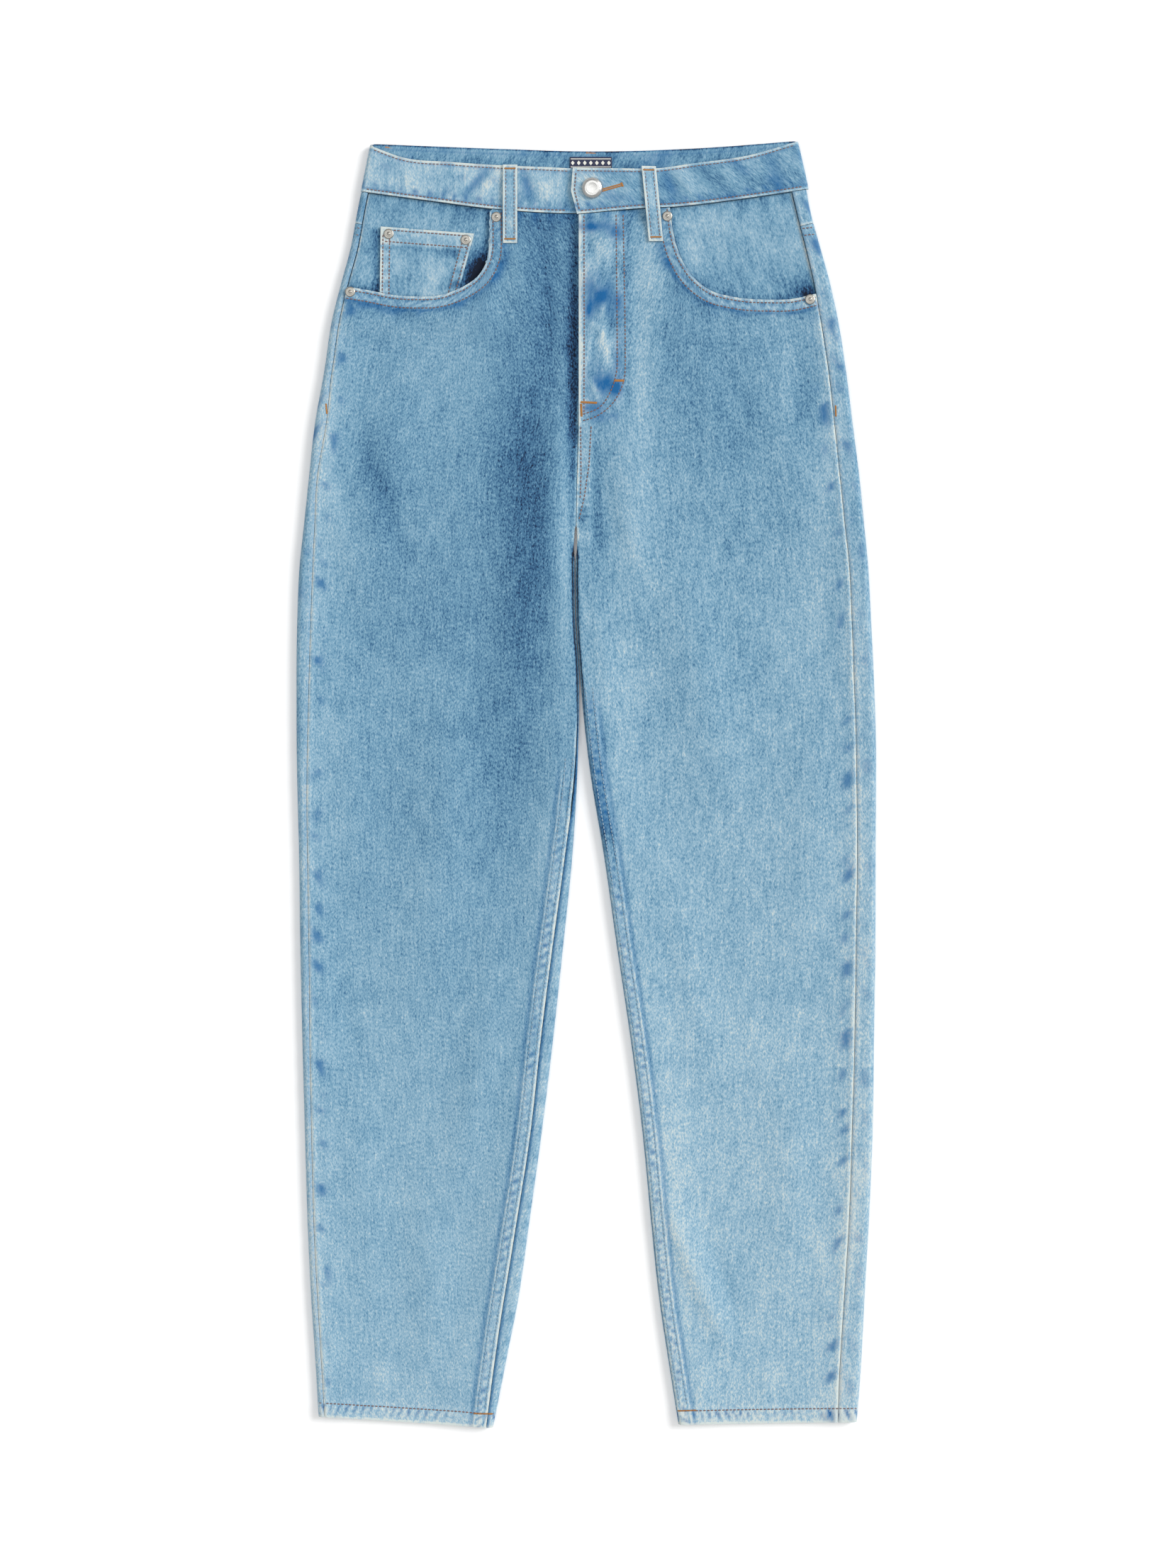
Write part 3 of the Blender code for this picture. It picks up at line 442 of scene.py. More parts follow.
def smooth_curve(xs, ys):
    """A smooth curve through the points (xs, ys), as a function of x."""
    xs = np.array(xs, float)
    ys = np.array(ys, float)
    order = np.argsort(xs)
    xs, ys = xs[order], ys[order]
    slopes = np.gradient(ys, xs)
    secants = np.diff(ys) / np.diff(xs)
    slopes[1:-1][secants[1:] * secants[:-1] <= 0] = 0.0

    def at(x):
        x = np.clip(x, xs[0], xs[-1])
        i = np.clip(np.searchsorted(xs, x) - 1, 0, len(xs) - 2)
        span = xs[i + 1] - xs[i]
        t = (x - xs[i]) / span
        start = ys[i] * (1 + 2 * t) * (1 - t) ** 2 + ys[i + 1] * t * t * (3 - 2 * t)
        return start + span * (slopes[i] * t * (1 - t) ** 2 - slopes[i + 1] * t * t * (1 - t))

    return at


def table_curves(columns, rows):
    values = np.array(rows, float)
    return {name: smooth_curve(values[:, 0], values[:, k]) for k, name in enumerate(columns)}


def resample(points, fractions):
    """Points at the given fractions of a polyline's length."""
    points = np.array(points, float)
    steps = np.sqrt((np.diff(points, axis=0) ** 2).sum(axis=1))
    along = np.concatenate([[0], np.cumsum(steps)])
    wanted = np.array(fractions) * along[-1]
    return np.stack([np.interp(wanted, along, points[:, k]) for k in range(points.shape[1])], axis=1)


def route(points, count):
    """The given number of points spaced evenly along a smooth route."""
    points = np.array(points, float)
    steps = np.hypot(*np.diff(points, axis=0).T)
    along = np.concatenate([[0], np.cumsum(steps)])
    dense = np.linspace(0, along[-1], 200)
    fine = np.stack([smooth_curve(along, points[:, k])(dense) for k in (0, 1)], axis=1)
    return resample(fine, np.linspace(0, 1, count))


def path_length(points):
    return float(np.sqrt((np.diff(points, axis=0) ** 2).sum(axis=1)).sum())


def ease(t):
    t = np.clip(t, 0.0, 1.0)
    return t * t * (3 - 2 * t)


def bell(t):
    return np.exp(-np.maximum(t, 0.0) ** 2)


def hump(t):
    return np.exp(-t ** 2)


def lines(away, table):
    """Soft lines at the distances of a table from an edge."""
    return sum(change * hump((away - place) / half) for place, half, change in table)


def patches(table, x, y):
    """Soft patches of a table: x, y, half width, half height and change."""
    return sum(
        change * np.exp(-((x - cx) / half_x) ** 2 - ((y - cy) / half_y) ** 2)
        for cx, cy, half_x, half_y, change in table
    )


def plateau(t, start, end, soft):
    """1 between start and end, easing to 0 over the soft stretch outside them."""
    return ease((t - start + soft) / soft) * ease((end + soft - t) / soft)


def noise(x, y, size, seed):
    """Soft random values from -1 to 1, with patches of the given size."""
    count = 64
    table = np.random.default_rng(seed).uniform(-1, 1, (count, count))
    u, v = np.broadcast_arrays(np.asarray(x, float) / size, np.asarray(y, float) / size)
    i, j = np.floor(u).astype(int), np.floor(v).astype(int)
    a, b = ease(u - i), ease(v - j)
    low = table[i % count, j % count] * (1 - a) + table[(i + 1) % count, j % count] * a
    high = table[i % count, (j + 1) % count] * (1 - a) + table[(i + 1) % count, (j + 1) % count] * a
    return low * (1 - b) + high * b


def pucker(along, period, seed):
    """Uneven waves along a seam, from about -1 to 1."""
    shift = 0.45 * period * noise(along, seed * 7.3, 2.6 * period, seed)
    strength = 0.62 + 0.38 * noise(along, seed * 3.1, 2.0 * period, seed + 50)
    return np.sin(2 * np.pi * (along + shift) / period) * strength


def ridges(table, x, y):
    """Height that a table of folds or creases adds at a point."""
    total = 0.0 * x
    for x0, y0, x1, y1, height, width in table:
        length_squared = (x1 - x0) ** 2 + (y1 - y0) ** 2
        t = np.clip(((x - x0) * (x1 - x0) + (y - y0) * (y1 - y0)) / length_squared, 0, 1)
        off = np.hypot(x - x0 - t * (x1 - x0), y - y0 - t * (y1 - y0))
        total = total + height * np.sin(np.pi * (0.15 + 0.7 * t)) * np.exp(-(off / width) ** 2)
    return total


def distance(x, y, line):
    """Distance from each point to a line of points."""
    best = np.full(np.shape(x), 1e9)
    for (x0, y0), (x1, y1) in zip(line[:-1], line[1:]):
        length_squared = max((x1 - x0) ** 2 + (y1 - y0) ** 2, 1e-9)
        t = np.clip(((x - x0) * (x1 - x0) + (y - y0) * (y1 - y0)) / length_squared, 0, 1)
        best = np.minimum(best, np.hypot(x - x0 - t * (x1 - x0), y - y0 - t * (y1 - y0)))
    return best


LEG = {side: table_curves(SECTION, rows) for side, rows in SECTIONS.items()}
RISE = table_curves(HEIGHT, HEIGHTS)
EDGE = {
    part: {
        "top": smooth_curve(*np.array(BAND_TOP[part], float).T),
        "foot": smooth_curve(*np.array(BAND_FOOT[part], float).T),
    }
    for part in BAND_TOP
}


def inner_half_width(y):
    return CROTCH_FOLD + (FOLD - CROTCH_FOLD) * ease((CROTCH - y) / 60.0)


def crown(side, x, y):
    """Height of the front's outer face, before it turns round the folds."""
    leg = LEG[side]
    middle = RISE["middle"](y)
    height = middle + (RISE["edge"](y) - middle) * bell((np.abs(x - leg["outer"](y)) - FOLD) / EDGE_RUN)
    from_inner = np.abs(x - leg["inner"](y))
    height = height + (RISE[side](y) - middle) * bell((from_inner - CENTRE_FLAT) / CENTRE_RUN)
    return height + ridges(FOLDS[side], x, y)


def hem_level(side, x):
    """Height of the leg's lower edge at x."""
    leg = LEG[side]
    outer, inner = leg["outer"](-527.0), leg["inner"](-527.0)
    t = np.clip((x - outer) / (inner - outer), 0, 1)
    low_outer, low_inner = HEM_LINE[side]
    return low_outer + (low_inner - low_outer) * t


def hem_lift(side, x, y):
    return HEM_STEP * ease((hem_level(side, x) + HEM_DEPTH + 0.8 - y) / 1.6)


def front_height(side, x, y):
    """Height of the front's outer face, with its turn round the outer fold."""
    height = crown(side, x, y) + hem_lift(side, x, y)
    base = RISE["under"](y)
    q = np.clip(np.abs(x - LEG[side]["outer"](y)) / FOLD, 0, 1)
    middle = (height + base) / 2
    return middle + (height - base) / 2 * np.sqrt(1 - (1 - q) ** 2)


def seam_angle(seam_in, half_width):
    return np.arccos(1 - min(seam_in / half_width, 1.0))


def front_stop(seam_in, half_width):
    """Where the front ends at a seam: how far in on top, and its angle round the edge."""
    quarter = np.pi / 2
    angle = seam_angle(seam_in, half_width)
    if angle >= quarter:
        return seam_in + CLEARANCE / 2, quarter
    return half_width, min(angle + FOLD_TRIM / half_width, quarter)


def back_stop(seam_in, half_width):
    """The same for the back panel, on the other side of the seam's gap."""
    quarter = np.pi / 2
    angle = seam_angle(seam_in, half_width)
    if angle >= quarter:
        return max(seam_in - CLEARANCE / 2, half_width), quarter
    return half_width, angle - FOLD_TRIM / half_width


def around(x_edge, inward, half_width, top, base, angles):
    """Points (x, z) round a folded edge between its top and its base."""
    x = x_edge + inward * half_width * (1 - np.cos(angles))
    return np.stack([x, (top + base) / 2 + (top - base) / 2 * np.sin(angles)], axis=1)


def turn(side, y, edge, half_width, seam_in):
    """One folded edge of a back panel from its seam on the front to the floor, as (x, z)."""
    x_edge = float(LEG[side][edge](y))
    inward = -SIDES[side] if edge == "outer" else SIDES[side]
    base = float(RISE["under"](y))
    stop, first = back_stop(seam_in, half_width)
    if edge == "inner":
        first = -np.pi / 2 + (first + np.pi / 2) * float(ease((CROTCH - y) / CROTCH_RISE))
    xs = x_edge + inward * np.linspace(stop, half_width, 8)
    flat = np.stack([xs, crown(side, xs, y) + hem_lift(side, xs, y)], axis=1)
    bend = around(x_edge, inward, half_width, flat[-1, 1], base, np.linspace(first, -np.pi / 2, 25))
    lead = np.array([[x_edge + inward * (half_width + FOLD_LEAD), base]])
    if stop > half_width:
        return np.concatenate([flat[:-1], bend, lead])
    return np.concatenate([bend, lead])


def back_section(side, y, turn_steps, flat_steps):
    """The back panel's outer face at one height, from side seam over the floor to inseam."""
    outer = turn(side, y, "outer", FOLD, float(LEG[side]["outseam_in"](y)))
    outer = resample(outer, np.linspace(0, 1, turn_steps + 1))
    base = float(RISE["under"](y))
    if y < CROTCH - 0.5:
        half_width = float(inner_half_width(y))
        inner = turn(side, y, "inner", half_width, float(LEG[side]["inseam_in"](y)))
        inner = resample(inner[::-1], np.linspace(0, 1, turn_steps + 1))
    else:
        end = float(LEG[side]["inner"](y)) + SIDES[side] * CLEARANCE / 2
        start = end + SIDES[side] * (FOLD + FOLD_LEAD)
        inner = np.stack([np.linspace(start, end, turn_steps + 1), np.full(turn_steps + 1, base)], axis=1)
    flat = np.linspace(outer[-1], inner[0], flat_steps + 1)[1:-1]
    return np.concatenate([outer, flat, inner])


def centre_front(side, y):
    """Inner edge of a front above the crotch: the right one runs on under the fly."""
    seam = LEG[side]["inner"](y)
    if side == "left":
        return seam + CLEARANCE / 2
    return seam - CLEARANCE / 2 + FLY_UNDERLAP * ease((y - 300.0) / 40.0)


def side_seam(side, y):
    leg = LEG[side]
    gap = CLEARANCE / 2 + POCKET_END_GAP * ease((y - HIP) / 60.0)
    return leg["outer"](y) - SIDES[side] * (leg["outseam_in"](y) + gap)


def front_path(side, y):
    """The front panel's outer face at one height, as a fine line of (x, z)."""
    leg = LEG[side]
    sign = SIDES[side]
    x_start = float(leg["outer"](y)) - sign * (float(leg["outseam_in"](y)) + CLEARANCE / 2)
    if y >= CROTCH - 0.5:
        xs = np.linspace(x_start, float(centre_front(side, y)), 120)
        return np.stack([xs, front_height(side, xs, y)], axis=1)
    half_width = float(inner_half_width(y))
    x_edge = float(leg["inner"](y))
    stop, last = front_stop(float(leg["inseam_in"](y)), half_width)
    xs = np.linspace(x_start, x_edge + sign * stop, 120)
    path = np.stack([xs, front_height(side, xs, y)], axis=1)
    if last >= np.pi / 2:
        return path
    angles = np.linspace(np.pi / 2, last, 12)[1:]
    bend = around(x_edge, sign, half_width, path[-1, 1], float(RISE["under"](y)), angles)
    return np.concatenate([path, bend])


def spread(length, steps):
    """Fractions of a length: close together at both ends and even between them."""
    ends = EDGE_STEPS[EDGE_STEPS < 0.45 * length]
    between = np.linspace(ends[-1], length - ends[-1], steps + 1)[1:-1]
    return np.concatenate([ends, between, length - ends[::-1]]) / length


def coons(bottom, top, left, right, u, v):
    """A grid of (x, y) filled in between its four edges."""
    v = np.asarray(v)[:, None, None]
    u = np.asarray(u)[None, :, None]
    ruled = (1 - v) * bottom[None] + v * top[None]
    across = (1 - u) * left[:, None] + u * right[:, None]
    corners = (1 - v) * ((1 - u) * bottom[0] + u * bottom[-1]) + v * ((1 - u) * top[0] + u * top[-1])
    return ruled + across - corners


def along_columns(section, heights):
    """Points of a panel: its sections, each column read at its own heights."""
    levels = np.arange(heights.min() - 3.0, heights.max() + 3.0, 3.0)
    stack = np.array([section(y) for y in levels])
    points = np.empty(heights.shape + (3,))
    for column in range(heights.shape[1]):
        y = heights[:, column]
        points[:, column, 0] = np.interp(y, levels, stack[:, column, 0])
        points[:, column, 1] = y
        points[:, column, 2] = np.interp(y, levels, stack[:, column, 1])
    return points


def leg_rows(side, xs, start):
    """Heights of a panel's rows from below the start down to its hem, for columns at xs."""
    hem = hem_level(side, xs)
    low = HEM_MEAN + HEM_ROWS[0]
    count = int((start - low) / ROW_STEP)
    rows = []
    for level in np.linspace(start, low, count + 1)[1:-1]:
        share = float(ease((-235.0 - level) / 250.0))
        rows.append(level + share * (hem - HEM_MEAN))
    for above in HEM_ROWS:
        rows.append(hem + above)
    return np.array(rows)


def coin_lift(x, y):
    off_x = ease((np.abs(x - COIN_LIFT_CENTRE[0]) - COIN_LIFT_HALF[0]) / COIN_LIFT_RAMP)
    off_y = ease((np.abs(y - COIN_LIFT_CENTRE[1]) - COIN_LIFT_HALF[1]) / COIN_LIFT_RAMP)
    return COIN_LIFT * (1 - off_x) * (1 - off_y)


def grid_normals(points, faces):
    """Unit normals of a grid, turned so that its middle looks up (1) or down (-1)."""
    normals = np.cross(np.gradient(points, axis=1), np.gradient(points, axis=0))
    normals /= np.maximum(np.linalg.norm(normals, axis=2, keepdims=True), 1e-9)
    middle = normals[points.shape[0] // 2, points.shape[1] // 2]
    return normals if middle[2] * faces > 0 else -normals


def arc_lengths(points):
    """How far each point of a grid lies along its row, and the length of that row."""
    steps = np.linalg.norm(np.diff(points, axis=1), axis=2)
    along = np.concatenate([np.zeros((len(points), 1)), np.cumsum(steps, axis=1)], axis=1)
    return along, along[:, -1:]


SURFACES = {}


def surface_tree(points):
    rows, columns = points.shape[:2]
    index = np.arange(rows * columns).reshape(rows, columns)
    quads = np.stack([index[:-1, :-1], index[:-1, 1:], index[1:, 1:], index[1:, :-1]], axis=-1)
    return BVHTree.FromPolygons(points.reshape(-1, 3).tolist(), quads.reshape(-1, 4).tolist())


def add_object(name, data):
    """A new object in the scene."""
    thing = bpy.data.objects.new(name, data)
    bpy.context.scene.collection.objects.link(thing)
    return thing


def add_layers(mesh, layers, vector_layers):
    """Values for each vertex, which the materials read by name."""
    for kind, socket, group in (("FLOAT", "value", layers), ("FLOAT_VECTOR", "vector", vector_layers)):
        for key, values in group.items():
            attribute = mesh.attributes.new(key, kind, "POINT")
            attribute.data.foreach_set(socket, values.astype(np.float32).ravel())


def cloth_piece(name, points, wall, layers, faces=1, slot="denim", bevel=0.4, weights=None, thin=1.0):
    """A cloth wall inside a grid of points, its outer face, standing for the node of that name."""
    rows, columns = points.shape[:2]
    r, c = rows // 2, columns // 2
    if np.cross(points[r, c] - points[r, c - 1], points[r, c] - points[r - 1, c])[2] * faces < 0:
        points = points[::-1]
        layers = {key: values[::-1] for key, values in layers.items()}
        weights = None if weights is None else weights[::-1]
    SURFACES[name] = surface_tree(points)
    grid = bmesh.new()
    bmesh.ops.create_grid(grid, x_segments=columns - 1, y_segments=rows - 1, size=1.0)
    mesh = bpy.data.meshes.new(name)
    grid.to_mesh(mesh)
    grid.free()
    flat = np.empty(rows * columns * 3, np.float32)
    mesh.vertices.foreach_get("co", flat)
    flat = flat.reshape(-1, 3)
    column = np.rint((flat[:, 0] + 1) / 2 * (columns - 1)).astype(int)
    row = np.rint((flat[:, 1] + 1) / 2 * (rows - 1)).astype(int)
    mesh.vertices.foreach_set("co", (points[row, column] * MM).astype(np.float32).ravel())
    along, _ = arc_lengths(points)
    down, _ = arc_lengths(points.transpose(1, 0, 2))
    own_cloth = 50.0 * (sum(map(ord, name)) % 17)
    grain = np.stack([along, points[..., 1], np.full(along.shape, own_cloth)], axis=2) * MM
    by_vertex = {key: values[row, column] for key, values in layers.items()}
    add_layers(mesh, by_vertex, {"cloth": grain[row, column]})
    thing = add_object(f"{name}_cloth", mesh)
    solid = thing.modifiers.new("wall", "SOLIDIFY")
    solid.thickness = wall * MM
    solid.offset = -1.0
    if weights is not None:
        group = thing.vertex_groups.new(name="hem")
        for index, share in enumerate(weights[row, column]):
            group.add([index], float(share), "REPLACE")
        solid.vertex_group = group.name
        solid.thickness_vertex_group = thin
    if bevel:
        edge = thing.modifiers.new("edge", "BEVEL")
        edge.width = bevel * MM
        edge.segments = 2
        edge.limit_method = "ANGLE"
        edge.angle_limit = 1.1
    mesh.shade_smooth()
    mesh.materials.append(MATERIALS[slot])
    area = np.linalg.norm(np.cross(np.diff(points[:-1], axis=1), np.diff(points[:, :-1], axis=0)), axis=2)
    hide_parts(name)
    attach(thing, "root")
    return thing


def broad_wash_and_shading(side, x, y):
    """How far the cloth is bleached, from the leg's table, with soft patches of wash and of painted light
    and shade.
    """
    wash_and_shading = smooth_curve(*np.array(WASH[side], float).T)(y)
    wash_and_shading = wash_and_shading + patches(WASH_AND_SHADING_PATCHES[side], x, y)
    return wash_and_shading + 0.03 * noise(x, y, 42, 3) + 0.025 * noise(x, y, 17, 4)


def roping(along, from_seam, seed):
    """Dark uneven blotches in a row beside a seam, from 0 to 1."""
    slanted = along + 0.5 * from_seam
    blotch = 0.6 * pucker(slanted, 31.0, seed) + 0.9 * noise(slanted, from_seam * 0.6, 8, seed + 9)
    return ease(blotch * 1.3 - 0.1) * hump((from_seam - 7.0) / 4.5)


def front_grid(side):
    """The plain grid of a front: shaped to the pocket and the fly above the hip, straight rows below."""
    def section(y):
        path = front_path(side, y)
        return resample(path, spread(path_length(path), FRONT_STEPS))

    pocket = route(POCKET_EDGE[side][::-1], LINE_POINTS)
    pocket[0, 0] = side_seam(side, pocket[0, 1])
    end = float(centre_front(side, WAIST_CENTRE))
    pocket[-1, 1] = float(EDGE[side]["foot"](pocket[-1, 0])) - WAIST_GAP
    xs = np.linspace(pocket[-1, 0], end, 40)[1:]
    waist = np.stack([xs, EDGE[side]["foot"](xs) - WAIST_GAP], axis=1)
    line = np.concatenate([pocket, waist])
    top = resample(line, spread(path_length(line), FRONT_STEPS))
    bottom = section(HIP)[:, 0]
    bottom = np.stack([bottom, np.full(len(bottom), HIP)], axis=1)
    climb = top[-1, 1] - HIP
    v = np.concatenate([
        np.linspace(0, 1 - EDGE_STEPS[-1] / climb, int(climb / ROW_STEP)),
        1 - EDGE_STEPS[-2::-1] / climb,
    ])
    left_y = HIP + v * (top[0, 1] - HIP)
    right_y = HIP + v * climb
    left = np.stack([side_seam(side, left_y), left_y], axis=1)
    right = np.stack([centre_front(side, right_y), right_y], axis=1)
    u = spread(path_length(bottom), FRONT_STEPS)
    upper = coons(bottom, top, left, right, u, v)[::-1]
    z = front_height(side, upper[..., 0], upper[..., 1])
    if side == "right":
        z = z + coin_lift(upper[..., 0], upper[..., 1])
    upper = np.concatenate([upper, z[..., None]], axis=2)
    lower = along_columns(section, leg_rows(side, section(HEM_COLUMNS)[:, 0], HIP))
    return np.concatenate([upper, lower]), pocket, waist


def front_places(side, points, pocket, waist):
    """Where each point of a front lies: how far from its edges, and in which of its bands."""
    x, y = points[..., 0], points[..., 1]
    along, row_length = arc_lengths(points)
    at = SimpleNamespace(side=side, x=x, y=y, seed=11 if side == "right" else 31)
    at.from_side, at.from_inner = along, row_length - along
    at.from_pocket = distance(x, y, pocket)
    at.from_waist = distance(x, y, waist)
    at.from_hem = y - hem_level(side, x)
    at.below = ease((CROTCH - 8.0 - y) / 20.0)
    at.gap = at.below * ease((y - 40.0) / 50.0)
    at.rolled = ease((FELL_START[side] - y) / FELL_RUN)
    at.fell = plateau(at.from_inner, -1.0, FELL_WIDTH, 1.0) * at.rolled
    at.pocket_hem = plateau(at.from_pocket, -1.0, POCKET_HEM, 1.2)
    at.under_band = at.from_pocket > POCKET_HEM
    at.hem = ease((HEM_DEPTH - at.from_hem) / 2.0)
    at.twist = pucker(x + 0.4 * at.from_hem * SIDES[side], PUCKERS["twist"], at.seed + 5)
    at.pocket_pucker = pucker(x + y, PUCKERS["pocket"], at.seed + 2)
    at.waist_pucker = pucker(x, PUCKERS["waist"], at.seed + 3)
    return at


def front_relief(at):
    """Creases, grooves and puckers of a front."""
    x, y, seed = at.x, at.y, at.seed
    relief = ridges(CREASES[at.side], x, y)
    relief += 0.22 * noise(x, y, 60, seed) + 0.10 * noise(x, y * 0.6, 19, seed + 1)
    relief += lines(at.from_side, SIDE_RELIEF)
    relief += 0.20 * pucker(y, PUCKERS["side"], seed) * hump((at.from_side - 7.5) / 5.0)
    relief += at.pocket_hem * (0.45 + 0.10 * at.pocket_pucker) + lines(at.from_pocket, POCKET_RELIEF)
    relief += 0.22 * at.waist_pucker * hump(at.from_waist / 9.0) * at.under_band
    relief += at.fell * (0.50 + 0.10 * pucker(y, PUCKERS["fell"], seed + 4))
    relief += at.rolled * lines(at.from_inner, FELL_RELIEF)
    relief += at.below * -0.5 * hump(at.from_inner / 0.8)
    relief += 0.26 * at.twist * at.hem * ease(at.from_hem / 2.5)
    relief += 0.16 * pucker(x, PUCKERS["above_hem"], seed + 6) * hump((at.from_hem - 16.0) / 5.0)
    return relief


def front_wash_and_shading(at):
    """How far a front is bleached and where the blue stays, with painted light and shade on its creases, in
    the pocket's groove, under the band and in the gap between the legs.
    """
    x, y, seed = at.x, at.y, at.seed
    # Painted shade in the creases' troughs and painted highlight on their ridges, on top of the leg's wash
    wash_and_shading = broad_wash_and_shading(at.side, x, y) + 0.10 * ridges(CREASES[at.side], x, y)
    blotches = roping(y, at.from_side, seed)
    indigo = 0.75 * blotches
    wash_and_shading += -0.10 * blotches + lines(at.from_side, SIDE_WASH)

    uneven = noise(x, y, 9, seed + 7)
    # Painted shade in the groove at the foot of the pocket's hem, with blue kept there
    groove = hump((at.from_pocket - 10.9) / 1.5)
    wash_and_shading += at.pocket_hem * (0.10 + 0.10 * at.pocket_pucker - 0.14 * hump((at.from_pocket - 3.6) / 1.0))
    wash_and_shading += -0.28 * groove * (0.7 + 0.4 * uneven)
    wash_and_shading += -0.08 * hump((at.from_pocket - 15.0) / 4.5) * (0.6 + 0.7 * uneven)
    indigo += 0.4 * groove + 0.5 * at.pocket_hem * ease(at.pocket_pucker * -1.4)
    indigo += 0.6 * hump((at.from_pocket - 13.0) / 3.0) * ease(noise(x, y, 8, seed + 7) * 1.5)

    # Painted shade under the waistband's edge, uneven with its puckers, with blue kept in the puckers
    streak = 0.6 + 0.6 * at.waist_pucker
    below_band = hump(at.from_waist / 8.0) * at.under_band
    wash_and_shading += -0.16 * below_band * streak
    indigo += 0.7 * below_band * ease(streak - 0.3)

    roped = pucker(y + 0.6 * at.from_inner, PUCKERS["rope"], seed + 4)
    shaded = at.fell * ease((-150.0 - y) / -120.0) * (at.side == "left")
    wash_and_shading += at.fell * (0.09 + 0.10 * roped) + at.rolled * lines(at.from_inner, FELL_WASH)
    wash_and_shading += -0.20 * shaded * (1 + 0.8 * noise(y, 0.0, 34, seed + 8))
    # Painted shadow in the narrow gap between the legs below the crotch
    wash_and_shading += -0.8 * at.gap * hump(at.from_inner / 1.5)
    indigo += 0.8 * at.fell * ease(-1.3 * roped) * hump((at.from_inner - 6.0) / 3.0)
    indigo += 0.32 * shaded * ease(noise(y, at.from_inner, 17, seed + 9) * 1.8)
    indigo += 0.35 * at.rolled * hump((at.from_inner - 12.6) / 1.6)

    wash_and_shading += at.hem * (0.12 + 0.07 * at.twist) + 0.10 * hump((at.from_hem - 14.2) / 1.4)
    indigo += 0.9 * at.hem * ease(-1.6 * at.twist - 0.3) * hump((at.from_hem - 8.5) / 4.0)
    indigo += 0.6 * hump((at.from_hem - 14.5) / 2.0) * ease(1.5 * at.twist - 0.6)
    return wash_and_shading, indigo


def fly_details(at):
    """What the fly and the seam below it add to the left front: relief, wash and blue."""
    x, y = at.x, at.y
    curve_y = smooth_curve([p[0] for p in FLY_CURVE[:0:-1]], [p[1] for p in FLY_CURVE[:0:-1]])(x)
    fly = ease((32.0 - x) / 2.0) * ease((y - curve_y + 1.0) / 3.0)
    crinkle = ridges(FLY_CRINKLES, x, y)
    seam_band = plateau(at.from_inner, -1.0, 11.0, 1.0) * (1 - at.below) * ease((301.0 - y) / 4.0)
    relief = fly * (0.45 + 0.12 * noise(x, y, 6, 40)) + crinkle + 0.4 * seam_band

    blotch = 0.6 * noise(x * 1.5, y * 0.7, 9, 41) + 0.6 * noise(x * 1.4, y * 0.4, 4, 42)
    indigo = -0.9 * np.maximum(crinkle, 0.0)
    indigo += patches(FLY_INDIGO, x, y) * (1.05 + 1.1 * blotch) * (y > curve_y - 12.0)
    wash_and_shading = 0.02 + 0.18 * blotch + patches(FLY_PALE, x, y) + 0.30 * hump(at.from_inner / 5.5)
    wash_and_shading = fly * wash_and_shading + 0.22 * crinkle
    wash_and_shading += -0.12 * hump((x - 34.5) / 2.5) * ease((y - 300.0) / 30.0)
    wash_and_shading += 0.12 * seam_band * (1 + pucker(y, PUCKERS["fell"], 43))
    return relief, wash_and_shading, indigo


def build_front(side):
    """A front panel."""
    points, pocket, waist = front_grid(side)
    at = front_places(side, points, pocket, waist)
    relief = front_relief(at)
    wash_and_shading, indigo = front_wash_and_shading(at)
    if side == "left":
        more_relief, more_wash, more_indigo = fly_details(at)
        relief += more_relief
        wash_and_shading += more_wash
        indigo += more_indigo
    points = points + grid_normals(points, 1) * relief[..., None]
    unworn = 2.6 * at.below * (at.gap if side == "right" else 1.0)
    worn_sides = np.minimum(at.from_side + 0.6, at.from_inner + unworn)
    edge = np.minimum(worn_sides, np.minimum(at.from_pocket, at.from_hem))
    layers = {"wash_and_shading": wash_and_shading, "edge": edge, "indigo": np.maximum(indigo, 0.0)}
    weights = hem_weights(at.from_hem)
    cloth_piece(f"front_{side}", points, HEM_WALL, layers, bevel=0.5, weights=weights, thin=WALL / HEM_WALL)


def hem_weights(from_hem):
    """1 on the doubled hem and 0 above it."""
    return ease((HEM_DEPTH + 0.6 - from_hem) / 0.8)


